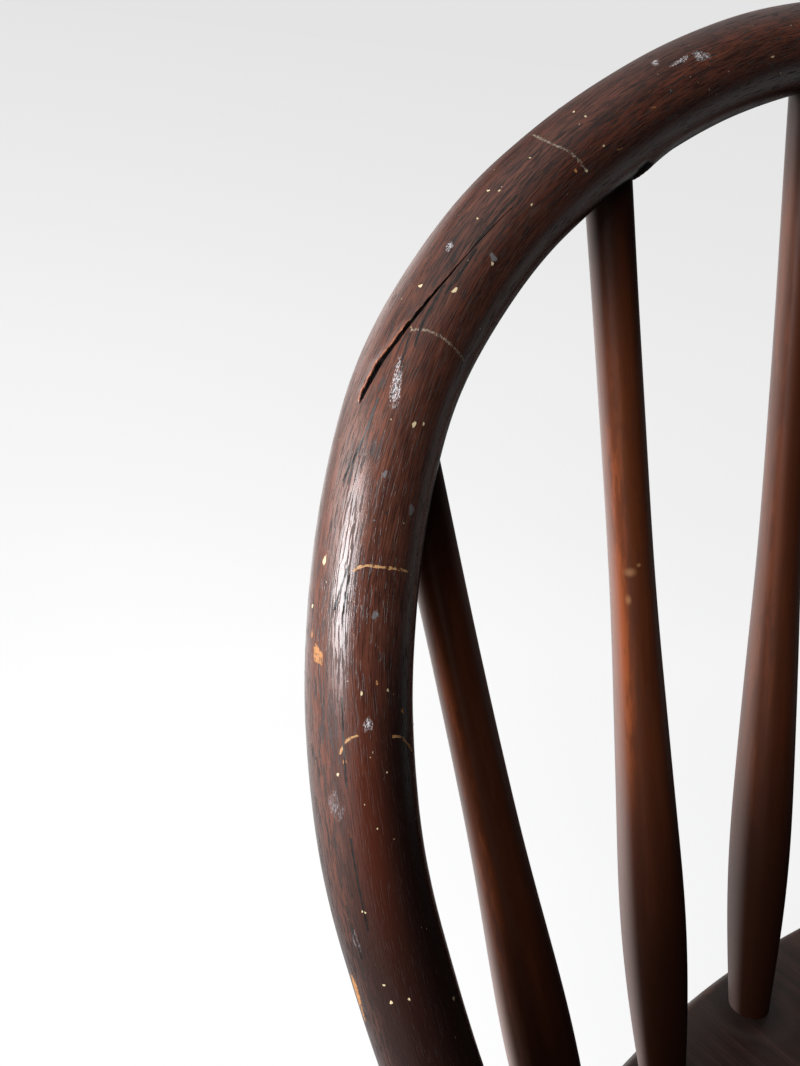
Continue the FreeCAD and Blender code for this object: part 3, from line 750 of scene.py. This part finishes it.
def spindleExtras(place, colour, rough, gloss):
    # painted shade away from the light, a painted warm glow and painted pale light on the lit side, blots,
    # painted shade at the ends and dabs of paint
    side = carried("side")
    reach = carried("share") + (stretchedNoise(place, 14, 120, 4.0, 0.6, 4.4) - 0.5) * 0.12
    # painted warm glow: only on the lit side and the middle of the length
    glow = carried("glow") * ease(side, -0.04, -0.6) * ease(side, -0.96, -0.58)
    glow = glow * ease(reach, 0.36, 0.55) * ease(reach, 0.84, 0.70)
    blots = stretchedNoise(place, 36, 230, 4.0, 0.65, 8.2)
    # painted shade towards both ends, and each spindle's own painted shade
    paintedShade = most(most(ease(reach, 0.80, 0.95), ease(reach, 0.56, 0.16)) * 0.95, carried("tone"))
    # coats in turn: painted shade away from the light, painted warm glow on the lit side, blots, painted
    # shade at the ends and per spindle, painted pale highlight on the lit side, and dabs of paint
    colour = coated(colour, (ease(side, -1.15, 0.25, 0.0, 0.8), (0.030, 0.006, 0.002)),
                    (glow, (0.42, 0.100, 0.028)), (ease(blots, 0.47, 0.60, 0.0, 0.55), (0.060, 0.018, 0.009)),
                    (paintedShade, (0.0125, 0.0036, 0.0018)),
                    (ease(side, -0.5, -0.97) * carried("pale"), (0.38, 0.285, 0.262)),
                    (ease(carried("dab"), 1.2, 0.0, 0.0, 0.5), (0.40, 0.20, 0.09)))
    rough = calculate("ADD", rough, paintedShade * 0.10, clamp=True)
    dull = calculate("SUBTRACT", gloss, paintedShade * 0.08)
    return colour, rough, ease(side, -0.45, -0.95, dull, gloss + 0.17)


def hoopHeight(across):
    # height of the hoop's line over the feet, on its crown or its shoulder
    if across <= hoop["crownRadius"] * math.sin(crownAngle):
        return crownCentre + math.sqrt(hoop["crownRadius"] ** 2 - across ** 2)
    return shoulderCentre + math.sqrt(hoop["shoulderRadius"] ** 2 - (across - shoulderAcross) ** 2)


def dabPatch(length, along, degrees, halfLength, halfWidth):
    # rings of an ellipse on the unrolled spindle, a hair above its surface
    angle = ringAngles(markPatch["columns"])
    rings = np.array(markPatch["rings"])[:, None]
    rows = along + rings * halfLength * np.cos(angle)
    wide = turnedRadius(spindle["outline"], length, spindle["swell"], rows.ravel()).reshape(rows.shape)
    turns = math.radians(degrees) + rings * halfWidth * np.sin(angle) / wide
    return rows, turns, wide + padLift(rows.shape), rings + 0 * rows


def spindleFoot(side, pair):
    # on a wide circle through the seat's rear part
    across = side * spindle["footShares"][pair] * spindle["rowHalfWidth"]
    reach = spindle["rowReach"] - spindle["rowRadius"] + math.sqrt(spindle["rowRadius"] ** 2 - across ** 2)
    return np.array([across, reach, 0.0])


def makeSpindle(number, side, pair):
    foot = spindleFoot(side, pair)
    topAcross = spindle["topShares"][pair] * hoopHalfWidth
    top = onBack(np.array(side * topAcross), np.array(hoopHeight(topAcross)))
    rise = unitVector(top - foot)
    start = foot - rise * spindle["sunk"]
    length = np.linalg.norm(top - start)
    along, radii = turnedRows(length, spindle["outline"], spindle["swell"], spindle["footTenon"],
                              spindle["topTenon"], spindle["rows"])
    angle = ringAngles(spindle["columns"])
    rows, turns = np.meshgrid(along, angle, indexing="ij")
    surfaces = [(rows, turns, radii[:, None], np.float64(noMark))]
    surfaces += [dabPatch(length, *dab) for dab in spindle["dabs"].get(number, ())]
    # each spindle's painted shade, painted pale light and painted warm glow on its lit side
    tone, pale, glow = [np.float64(spindle[key][number - 1]) for key in ("tones", "pales", "glows")]
    grids = []
    for rows, turns, wide, field in surfaces:
        points, grain, outward = turnedSurface(start, top, rows, turns, wide, number * 0.83,
                                               spindle["unevenness"])
        # side runs from the lit side to the side away from the light; the finish paints shade and light by it
        share, away = np.clip(rows / length, 0, 1), outward @ np.array(spindle["awayFromLight"])
        grids.append(wornGrid(points, grain, 0.15 + 0.25 * bell(share - 0.55, 0.25), share=share, dab=field,
                              tone=tone, pale=pale, glow=glow, side=away))
    return buildPiece("turned_spindle_%d" % number, grids)


spindleWood = woodFinish("spindle_varnish", spindleLook, spindleExtras)
spindleOrder = [(-1, pair) for pair in (2, 1, 0)] + [(1, pair) for pair in (0, 1, 2)]
for number, (side, pair) in enumerate(spindleOrder, 1):
    finishPiece(makeSpindle(number, side, pair), spindleWood, "spindle_wood", "spindle_%d" % number)

# Seat


def circleThrough(first, middle, last):
    # centre and radius of the circle through three points
    (ax, ay), (bx, by), (cx, cy) = first, middle, last
    twice = 2 * (ax * (by - cy) + bx * (cy - ay) + cx * (ay - by))
    a, b, c = ax ** 2 + ay ** 2, bx ** 2 + by ** 2, cx ** 2 + cy ** 2
    x = (a * (by - cy) + b * (cy - ay) + c * (ay - by)) / twice
    y = (a * (cx - bx) + b * (ax - cx) + c * (bx - ax)) / twice
    return np.array([x, y]), math.hypot(ax - x, ay - y)


def seatOutline(angle):
    # where rays from the dish's middle leave the overlap of four big circles, with rounded corners: the
    # reach is halved in on, 40 times
    rearMiddle = seat["rearReach"] - seat["rearRadius"]
    rearY = rearMiddle + math.sqrt(seat["rearRadius"] ** 2 - seat["rearHalfWidth"] ** 2)
    frontY = seat["frontBulge"] - seat["frontReach"]
    sideX = (seat["rearHalfWidth"] + seat["frontHalfWidth"]) / 2 + seat["sideBulge"]
    rear = (np.array([0, rearMiddle]), seat["rearRadius"])
    frontEnd = (seat["frontHalfWidth"], frontY)
    front = circleThrough((-seat["frontHalfWidth"], frontY), (0, -seat["frontReach"]), frontEnd)
    flank = circleThrough((seat["rearHalfWidth"], rearY), (sideX, (rearY + frontY) / 2), frontEnd)

    def outside(points, circle):
        return np.linalg.norm(points - circle[0], axis=-1) - circle[1]

    def rounded(first, second, radius):
        both = np.hypot(np.maximum(first + radius, 0), np.maximum(second + radius, 0)) - radius
        return np.where((first > -radius) & (second > -radius), both, np.maximum(first, second))

    middle = np.array([0, -seat["dishReach"]])
    ray = np.stack([np.cos(angle), np.sin(angle)], -1)
    low, high = np.full(len(angle), 100.0), np.full(len(angle), 400.0)
    for _ in range(40):
        reach = (low + high) / 2
        points = middle + ray * reach[:, None]
        folded = points * np.where(points[:, :1] < 0, [[-1.0, 1.0]], [[1.0, 1.0]])
        side = outside(folded, flank)
        value = np.maximum(rounded(side, outside(points, rear), seat["rearCorner"]),
                           rounded(side, outside(points, front), seat["frontCorner"]))
        low, high = np.where(value < 0, reach, low), np.where(value < 0, high, reach)
    return middle + ray * low[:, None]


def dishHeight(x, y):
    # cap of a large ball sunk in the flat top
    ball = (seat["dishRadius"] ** 2 + seat["dishDepth"] ** 2) / (2 * seat["dishDepth"])
    away = np.minimum(np.hypot(x, y + seat["dishReach"]), seat["dishRadius"])
    return ball - seat["dishDepth"] - np.sqrt(ball ** 2 - away ** 2)


def makeSeat():
    # rows run from the middle of the top out over the round edge, down the side and chamfer, and in again
    angle = ringAngles(seat["columns"])
    rim = seatOutline(angle)
    inward = inwardOf(rim)
    middle = np.array([0, -seat["dishReach"]])
    edge, chamfer, depth = seat["topEdge"], seat["underChamfer"], seat["thickness"]
    ray = np.stack([np.cos(angle), np.sin(angle)], -1)
    dish = middle + ray * np.linspace(4, seat["dishRadius"], 30)[:, None, None]
    border = dish[-1] + (rim + inward * edge - dish[-1]) * np.linspace(0, 1, 17)[1:, None, None]
    flat = np.concatenate([dish, border])
    x, y = flat[..., 0], flat[..., 1]
    heights = dishHeight(x, y) + seat["unevenness"] * (np.sin(x / 31 + 0.7) * np.sin(y / 43) - 1) * 0.5
    rolled = np.radians(np.linspace(0, 90, 8)[1:])
    # each further row's inset from the rim, and its height
    insets = np.concatenate([edge * (1 - np.sin(rolled)), np.zeros(6),
                             [chamfer * 0.5, chamfer - 0.8, chamfer + 0.6]])
    drops = np.concatenate([-edge * (1 - np.cos(rolled)) - seat["unevenness"],
                            np.linspace(-edge - 2, chamfer - depth, 6),
                            [chamfer * 0.5 - depth, 0.8 - depth, -depth]])
    sides = rim + inward * insets[:, None, None]
    under = sides[-1] + (middle - sides[-1]) * np.linspace(0, 0.98, 14)[1:, None, None]
    plan = np.concatenate([flat, sides, under])
    drops = np.concatenate([drops, np.full(len(under), -depth)])
    tall = np.concatenate([heights, np.repeat(drops[:, None], len(angle), 1)])
    points = np.concatenate([plan, tall[..., None]], -1)
    grain = np.stack([plan[..., 1], plan[..., 0], tall], -1) * mm
    toRim = np.zeros(tall.shape)
    toRim[:len(flat)] = np.linalg.norm(flat - rim, axis=-1)
    sat = np.hypot(points[..., 0], points[..., 1] + seat["sitReach"])
    rub = 0.50 * bell(toRim, 4) + 0.18 * bell(sat, 110)
    rub[len(flat) + 8:] = 0.1  # the side below the round edge and the underside
    return buildPiece("plank_seat", [wornGrid(points, grain, rub, planPlace=points * mm)], 50.0)


def seatExtras(place, colour, rough, gloss):
    # dark ground close to each spindle's foot, and a faint pale ring of old finish round it
    plan = carried("planPlace", "Vector")
    field = None
    for side, pair in spindleOrder:
        inputs = {"Vector": plan, "Location": tuple(spindleFoot(side, pair) * mm)}
        seen = addNode("Mapping", inputs, vector_type="TEXTURE")
        far = addNode("VectorMath", {0: seen}, operation="LENGTH")["Value"]
        field = far if field is None else calculate("MINIMUM", field, far)
    field = field + (stretchedNoise(place, 60, 60, 3.0, 0.6, 8.1) - 0.5) * 0.005
    ring = ease(field, 0.0135, 0.0165) * ease(field, 0.0200, 0.0172)
    colour = coated(colour, (ease(field, 0.0150, 0.0090) * 0.6, (0.008, 0.006, 0.005)),
                    (ring * 0.08, (0.09, 0.065, 0.05)))
    return colour, calculate("ADD", rough, ring * 0.1, clamp=True), gloss


seatWood = woodFinish("seat_varnish", seatLook, seatExtras)
finishPiece(makeSeat(), seatWood, "seat_wood", "seat")

# Rockers

rocker = dict(radius=900.0, thickness=28.0, depth=44.0, tip=14.0, frontReach=300.0, rearReach=320.0,
              gaugeHalf=195.0, edge=3.0, balance=10.0, lowerPoints=70, tipPoints=22)


def rockerHalf(way, reach):
    # running arc, round tip and the upper arc that meets it, all tangent, from bottom middle to top middle
    tip, big, deep = rocker["tip"], rocker["radius"], rocker["depth"]
    angle = math.asin((reach - tip) / (big - tip))
    tipAlong, tipHeight = (big - tip) * math.sin(angle), big - (big - tip) * math.cos(angle)
    drop = deep - tipHeight
    upper = (drop ** 2 + tipAlong ** 2 - tip ** 2) / (2 * (tip - drop))
    upperAngle = math.atan2(tipAlong, deep + upper - tipHeight)
    shares = np.linspace(0, 1, rocker["lowerPoints"])
    lower = np.stack([big * np.sin(angle * shares), big - big * np.cos(angle * shares)], -1)
    over = upperAngle * shares
    over = np.stack([upper * np.sin(over), deep + upper - upper * np.cos(over)], -1)
    turn = np.linspace(angle - math.pi / 2, upperAngle + math.pi / 2, rocker["tipPoints"])[1:-1]
    nose = np.stack([tipAlong + tip * np.cos(turn), tipHeight + tip * np.sin(turn)], -1)
    spine = (lower + over) / 2
    heart = np.repeat([[tipAlong, tipHeight]], len(nose), 0)
    outline = np.concatenate([lower, nose, over[::-1][:-1]])
    inner = np.concatenate([spine, heart, spine[::-1][:-1]])
    facing = np.array([way, 1.0])
    return outline * facing - [rocker["balance"], 0], inner * facing - [rocker["balance"], 0]


def makeRocker(name, side):
    # rows run from the middle of one face over the rounded rim to the middle of the other
    rear, rearHeart = rockerHalf(1, rocker["rearReach"])
    front, frontHeart = rockerHalf(-1, rocker["frontReach"])
    top = np.array([[-rocker["balance"], rocker["depth"]]])
    outline = np.concatenate([rear, top, front[:0:-1]])
    heart = np.concatenate([rearHeart, [[-rocker["balance"], rocker["depth"] / 2]], frontHeart[:0:-1]])
    inward = inwardOf(outline)
    half, edge = rocker["thickness"] / 2, rocker["edge"]
    rolled = np.radians(np.linspace(0, 90, 7))
    insets = edge * (1 - np.sin(rolled))
    rim = outline + inward * edge
    face = [heart + (rim - heart) * share for share in (0.0, 0.35, 0.7)]
    flat = np.stack(face + [outline + inward * inset for inset in insets])
    across = np.concatenate([np.full(3, half), half - edge * (1 - np.cos(rolled))])
    plan = np.concatenate([flat, flat[::-1]])
    x = np.concatenate([across, -across[::-1]])
    wide = np.repeat(x[:, None], len(outline), 1)
    world = np.stack([side * rocker["gaugeHalf"] + wide, plan[..., 0], plan[..., 1]], -1)
    grain = np.stack([plan[..., 0] + 350 * side, plan[..., 1], wide + 90 * side], -1) * mm
    run = bell(np.linalg.norm(plan - outline, axis=-1), 4)
    arc = rocker["radius"] - np.sqrt(rocker["radius"] ** 2 - (plan[..., 0] + rocker["balance"]) ** 2)
    rub = 0.35 * run * bell(np.abs(wide) - half, 6) + 0.55 * bell(plan[..., 1] - arc, 7) * run
    grid = wornGrid(toSeat(world), grain, rub, folded=True)
    return buildPiece("sawn_rocker_" + name, [grid], 50.0, weld=0.01)


rockerWood = woodFinish("rocker_varnish", rockerLook)
sides = (("left", -1), ("right", 1))
for name, side in sides:
    finishPiece(makeRocker(name, side), rockerWood, "rocker_wood", "rocker_" + name)

# Legs and stretchers

# Legs: for each row its half width and reach in the seat's frame, and its reach on the rockers
legs = dict(rows=(("front", 150.0, -275.0, -186.0), ("rear", 128.0, -75.0, 136.0)), footHeight=18.0,
            outline=((0, 0.72), (0.10, 0.74), (0.30, 0.93), (0.45, 1.0), (0.60, 0.95), (1.0, 0.66)),
            swell=18.0, topTenon=11.0, footTenon=8.5, proud=0.15, columns=56, count=150, unevenness=0.005)
stretcher = dict(share=0.55, swell=13.0, outline=((0, 0.6), (0.25, 0.78), (0.5, 1), (0.75, 0.78), (1, 0.6)),
                 tenon=(4.0, 6.5), columns=44, count=120, unevenness=0.006)


def rockerPoint(side, inset, angle):
    # a place in the rocker's middle plane, that far in from its running arc
    radius = rocker["radius"] - inset
    return np.array([side * rocker["gaugeHalf"], radius * math.sin(angle) - rocker["balance"],
                     rocker["radius"] - radius * math.cos(angle)])


legLines = {}
for row, halfWidth, socketY, footY in legs["rows"]:
    for name, side in sides:
        head = np.array([side * halfWidth, socketY, -seat["thickness"] / 2])
        angle = math.asin((footY + rocker["balance"]) / rocker["radius"])
        legLines[row + "_" + name] = (head, toSeat(rockerPoint(side, legs["footHeight"], angle)))


def seatTop(points, proud):
    return dishHeight(points[..., 0], points[..., 1]) + proud


def makeLeg(key, seed):
    # turned outline from the seat to the rocker, with a tenon that comes through the seat's top
    head, foot = legLines[key]
    length = np.linalg.norm(foot - head)
    along, radii = turnedRows(length, legs["outline"], legs["swell"], (0.0, legs["topTenon"]),
                              (0.0, legs["footTenon"]), legs["count"])
    keep = slice(2, -2)  # without the outer rows of its tenons
    points, grain, axis = turnedGrid(head, foot, along[keep], radii[keep], legs["columns"], seed,
                                     legs["unevenness"])
    # the tenon's end on the seat's top: rings from its middle outwards, and how far each lies below that top
    capRadii = legs["topTenon"] * np.array([0.15, 0.55, 0.92, 1.0, 1.0, 1.0])
    cap, capGrain, _ = turnedGrid(head, foot, np.zeros(6), capRadii, legs["columns"], seed)
    drop = np.array([0, 0, 0, 0.25, 3.0, 10.0])[:, None]
    cap = slideToHeight(cap, axis, lambda spots: seatTop(spots, legs["proud"]) - drop)
    grain = np.concatenate([capGrain, grain])
    points = np.concatenate([cap, points])
    share = np.concatenate([np.zeros(6), np.clip(along[keep] / length, 0, 1)])[:, None]
    rub = 0.2 + 0.25 * bell(share - 0.45, 0.2) + 0.4 * bell(share, 0.01)
    return buildPiece("turned_leg_" + key, [wornGrid(points, grain, rub)])


def makeStretcher(name, start, end, seed):
    length = np.linalg.norm(end - start)
    along, radii = turnedRows(length, stretcher["outline"], stretcher["swell"], stretcher["tenon"],
                              stretcher["tenon"], stretcher["count"])
    points, grain, _ = turnedGrid(start, end, along, radii, stretcher["columns"], seed,
                                  stretcher["unevenness"])
    share = (along / length)[:, None]
    above = np.clip(points[..., 2] - points[..., 2].mean(1)[:, None], 0, 9) / 9
    rub = 0.15 + 0.5 * bell(share - 0.5, 0.22) * above
    return buildPiece("turned_stretcher_" + name, [wornGrid(points, grain, rub)])


legWood = woodFinish("leg_varnish", legLook)
for seed, key in enumerate(legLines, 11):
    finishPiece(makeLeg(key, seed * 0.77), legWood, "leg_wood", "leg_" + key)
middles = []
for name, side in sides:
    ends = []
    for row in ("front", "rear"):
        head, foot = legLines[row + "_" + name]
        ends.append(head + (foot - head) * stretcher["share"])
    finishPiece(makeStretcher(name, *ends, 16.3 + side), legWood, "leg_wood", "stretcher_" + name)
    middles.append((ends[0] + ends[1]) / 2)
finishPiece(makeStretcher("cross", *middles, 19.1), legWood, "leg_wood", "stretcher_cross")

# Wedges and pegs

wedges = dict(thickness=3.0, edgeThickness=0.9, length=17.0, proud=0.3, rows=15, wear=0.45)
pegs = dict(radius=3.95, proud=0.35, columns=28, wear=0.4)


def wedgeGrid(centre, inward, across, tenonRadius, target, seed):
    # lens of the tenon's width: a tapered slab whose outer face follows the surface that it is flush with
    thin = unitVector(np.cross(inward, across))
    half, edgeHalf = wedges["thickness"] / 2, wedges["edgeThickness"] / 2
    reach = np.cos(np.linspace(math.pi, 0, wedges["rows"])) * tenonRadius * 0.985
    ring = np.array([[-1, 0], [-0.5, -0.12], [0, -0.15], [0.5, -0.12], [1, 0], [1, 4], [1, 12], [0, 17],
                     [-1, 12], [-1, 4]], float)
    taper = half + (edgeHalf - half) * np.clip(ring[:, 1], 0, None) / wedges["length"]
    room = np.sqrt(np.clip(tenonRadius ** 2 - reach ** 2, 0, None))
    sideways = np.minimum(np.abs(ring[:, 0]) * taper, room[:, None]) * np.sign(ring[:, 0])
    down = np.clip(ring[:, 1], 0, None)
    points = (centre + across * reach[:, None, None] + thin * sideways[..., None]
              + inward * down[None, :, None])
    outer = slideToHeight(points, inward, target)
    isOuter = (ring[:, 1] <= 0)[None, :, None]
    points = np.where(isOuter, outer, points)
    grain = np.stack([np.broadcast_to(down, sideways.shape), np.broadcast_to(reach[:, None], sideways.shape),
                      sideways + seed * 40], -1) * mm
    return wornGrid(points, grain, np.float64(wedges["wear"]))


def makeWedges():
    grids = []
    for seed, (head, foot) in enumerate(legLines.values()):
        down = unitVector(foot - head)
        centre = slideToHeight(head, down, lambda spot: seatTop(spot, 0.0))
        grids.append(wedgeGrid(centre, down, np.array([1.0, 0, 0]), legs["topTenon"],
                               lambda spots: seatTop(spots, wedges["proud"]), seed))
    upper = buildPiece("leg_wedge_set", grids, 50.0)
    grids = []
    for seed, (_, side) in enumerate(sides):
        foot, outward = hoopLine(side * hoopHalfLength)
        down = footAxis(outward)
        level = -seat["thickness"]
        centre = slideToHeight(foot, down, lambda spot: np.array(level))
        grids.append(wedgeGrid(centre, -down, np.array([0, 1.0, 0]), hoop["tenonRadius"],
                               lambda spots: np.full(spots.shape[:-1], level - wedges["proud"]), seed + 5))
    return upper, buildPiece("hoop_wedge_set", grids, 50.0)


def makePegs():
    # short rods across the rockers, with flat ends of a few rings each
    grids = []
    half = rocker["thickness"] / 2 + pegs["proud"]
    rings = np.linspace(0.05, 1, 5)
    along = np.repeat([-half, 2 - half, half - 2, half], [5, 1, 1, 5])
    radii = np.concatenate([rings, [1, 1], rings[::-1]]) * pegs["radius"]
    for seed, (key, (head, foot)) in enumerate(legLines.items()):
        side = -1 if key.endswith("left") else 1
        inset = fromSeat(foot) - unitVector(fromSeat(foot) - fromSeat(head)) * (legs["footHeight"] / 2)
        middle = np.array([side * rocker["gaugeHalf"], inset[1], inset[2]])
        points, grain, _ = turnedGrid(middle, middle + [1.0, 0, 0], along, radii, pegs["columns"], seed + 31)
        grids.append(wornGrid(toSeat(points), grain, np.float64(pegs["wear"])))
    return buildPiece("rocker_peg_set", grids, 50.0)


endWood = woodFinish("end_grain_varnish", endLook)
legWedgeSet, hoopWedgeSet = makeWedges()
finishPiece(legWedgeSet, endWood, "wedge_wood", "leg_wedges")
finishPiece(hoopWedgeSet, endWood, "wedge_wood", "hoop_wedges")
finishPiece(makePegs(), endWood, "wedge_wood", "rocker_pegs")

# Floor, light and camera

# The floor: near the chair part of it is matte and keeps the shadow, further out it glows. Its levels are
# what the camera sees. Bounce dims the matte part for other rays, and gloss scales the levels for them, in
# front of the chair and behind it
stage = dict(floorRadius=40.0, floorDrop=0.0004, matteShare=0.21, matteFrom=0.3, matteReach=2.6,
             floorColour=0.78, cloudiness=0.03, bounce=(0.06, 0.45), gloss=(0.04, 1.8), behind=(-0.25, 0.9),
             nearGloss=(0.5, 1.5, 0.4, 1.0), farGloss=(1.3, 2.8, 1.0, 0.6), sideGloss=(0.78, 1.0, 0.0, 0.42),
             nearLevel=1.070, farLevel=0.775, nearReach=1.0, right=(0.1, 0.95), rightLevel=0.87)
# Soft glows: bearing, rise, level, and the cosines where each starts and is full
glows = ((-68, -6, 5.0, 0.76, 0.98), (-15, -14, 1.9, 0.60, 0.97), (-80, 58, 0.76, 0.35, 1.0),
         (57, 25, 0.24, 0.76, 0.97))
room = dict(least=0.03, mattShare=0.85, colour=(1.0, 0.985, 0.975, 1))
windowLight = dict(bearing=-98.5, rise=10.5, distance=2.3, width=1.35, height=1.0, power=101.0,
                   colour=(0.95, 0.97, 1.0), target=(-220.0, 50.0, 230.0))
# The camera in the seat's frame: place in mm, turns in radians, focal length and height in the photo's pixels
cameraView = dict(place=(-358.05, -130.49, 319.24), pitch=-0.38756, roll=-0.08599, turn=-0.65923,
                  focal=1104.95, frameHeight=1066.0, sensor=36.0)


def bearingVector(bearing, rise):
    # degrees from the back towards the right, and degrees up
    bearing, rise = math.radians(bearing), math.radians(rise)
    return np.array([math.sin(bearing) * math.cos(rise), math.cos(bearing) * math.cos(rise), math.sin(rise)])


def floorMesh():
    # disc of rings round the chair: radius times (cos turn, sin turn), with one face in the middle
    radii = np.concatenate([[0.02], np.linspace(0.5, 3.0, 6), [5.0, 9.0, 20.0, stage["floorRadius"]]])
    count = 64
    far, turn = np.meshgrid(radii, ringAngles(count), indexing="ij")
    points = np.stack([far * np.cos(turn), far * np.sin(turn), np.full(far.shape, -stage["floorDrop"])], -1)
    row, column = np.meshgrid(np.arange(len(radii) - 1), np.arange(count), indexing="ij")
    near, side = row * count + column, row * count + (column + 1) % count
    quads = np.stack([near, near + count, side + count, side], -1).reshape(-1, 4)
    mesh = bpy.data.meshes.new("pale_floor")
    mesh.from_pydata(points.reshape(-1, 3).tolist(), [], quads.tolist() + [list(range(count))])
    return mesh


def makeFloor():
    floor = bpy.data.objects.new("pale_floor", floorMesh())
    bpy.context.scene.collection.objects.link(floor)
    material = bpy.data.materials.new("pale_floor")
    startTree(material)
    place = addNode("TexCoord")["Object"]
    away = addNode("VectorMath", {0: place}, operation="LENGTH")["Value"]
    axes = addNode("SeparateXYZ", {0: place})
    toRight, toBack = axes["X"], axes["Y"]
    behind = toBack - toRight
    path = addNode("LightPath")
    seen = most(path["Is Camera Ray"], path["Is Transmission Ray"])
    # matte part, cloudy, and dim for the light that it throws on the chair
    cloudy = addNode("TexNoise", {"Vector": place, "Scale": 2.2, "Detail": 2.0})
    shade = ease(cloudy, 0.3, 0.7, stage["floorColour"] - stage["cloudiness"],
                 stage["floorColour"] + stage["cloudiness"])
    shade = shade * most(seen, ease(behind, *stage["behind"], *stage["bounce"]))
    matte = addNode("BsdfDiffuse", {"Color": shade, "Roughness": 0.6})
    # the floor's level falls off evenly up the picture, so it goes with one over the distance
    rightShare = toRight / most(away, 0.3)
    nearLevel, farLevel = stage["nearLevel"], stage["farLevel"]
    near = ease(rightShare, *stage["right"], nearLevel, nearLevel * stage["rightLevel"])
    nearShare = calculate("DIVIDE", stage["nearReach"], most(away, stage["nearReach"]))
    level = (near - farLevel) * nearShare + farLevel
    gloss = ease(behind, *stage["behind"], *stage["gloss"]) * ease(behind, *stage["farGloss"])
    gloss = most(gloss, ease(rightShare, *stage["sideGloss"])) * ease(away, *stage["nearGloss"])
    level = level * ease(seen, 0.0, 1.0, gloss, 1.0)
    bright = addNode("Emission", {"Color": (1, 1, 1, 1), "Strength": level})
    white = ease(away, stage["matteFrom"], stage["matteReach"], 1.0 - stage["matteShare"], 1.0)
    white = white * most(seen, path["Is Glossy Ray"])
    addNode("OutputMaterial", {0: addNode("MixShader", {0: white, 1: matte, 2: bright})})
    floor.data.materials.append(material)


def makeWorld():
    # soft glows by direction for light and reflections, and an even pale ground for the camera
    world = bpy.data.worlds.new("soft_room")
    bpy.context.scene.world = world
    startTree(world)
    direction = addNode("TexCoord")["Generated"]
    level = room["least"]
    for bearing, rise, strength, low, high in glows:
        toward = tuple(bearingVector(bearing, rise))
        facing = addNode("VectorMath", {0: direction, 1: toward}, operation="DOT_PRODUCT")["Value"]
        level = ease(facing, low, high, 0.0, strength) + level
    path = addNode("LightPath")
    level = level * ease(path["Is Glossy Ray"], 0.0, 1.0, room["mattShare"], 1.0)
    around = addNode("Background", {"Color": room["colour"], "Strength": level})
    pale = addNode("Background", {"Color": (1, 1, 1, 1), "Strength": stage["farLevel"]})
    seen = most(path["Is Camera Ray"], path["Is Transmission Ray"])
    addNode("OutputWorld", {0: addNode("MixShader", {0: seen, 1: around, 2: pale})})


def makeWindowLight():
    light = bpy.data.lights.new("window_light", "AREA")
    light.shape = "RECTANGLE"
    light.size, light.size_y = windowLight["width"], windowLight["height"]
    light.energy = windowLight["power"]
    light.color = windowLight["colour"]
    lamp = bpy.data.objects.new("window_light", light)
    bpy.context.scene.collection.objects.link(lamp)
    target = Vector(fromSeat(np.array(windowLight["target"])) * mm)
    toward = Vector(bearingVector(windowLight["bearing"], windowLight["rise"]))
    turn = toward.to_track_quat("Z", "Y").to_matrix().to_4x4()
    lamp.matrix_world = Matrix.Translation(target + toward * windowLight["distance"]) @ turn


def turnAbout(axis, angle):
    return np.array(Matrix.Rotation(angle, 3, axis))


def makeCamera():
    view = cameraView
    data = bpy.data.cameras.new("view")
    data.sensor_fit = "VERTICAL"
    data.sensor_height = data.sensor_width = view["sensor"]
    data.lens = view["focal"] / view["frameHeight"] * view["sensor"]
    data.clip_start = 0.01
    camera = bpy.data.objects.new("view", data)
    bpy.context.scene.collection.objects.link(camera)
    turn = seatTurn @ turnAbout("Z", view["turn"]) @ turnAbout("X", view["pitch"])
    right, forward, up = (turn @ turnAbout("Y", view["roll"])).T
    matrix = np.eye(4)
    matrix[:3, :3] = np.stack([right, up, -forward], 1)
    matrix[:3, 3] = fromSeat(np.array(view["place"])) * mm
    camera.matrix_world = Matrix(matrix.tolist())
    bpy.context.scene.camera = camera


makeFloor()
makeWorld()
makeWindowLight()
makeCamera()
bpy.context.scene.view_settings.view_transform = "Standard"
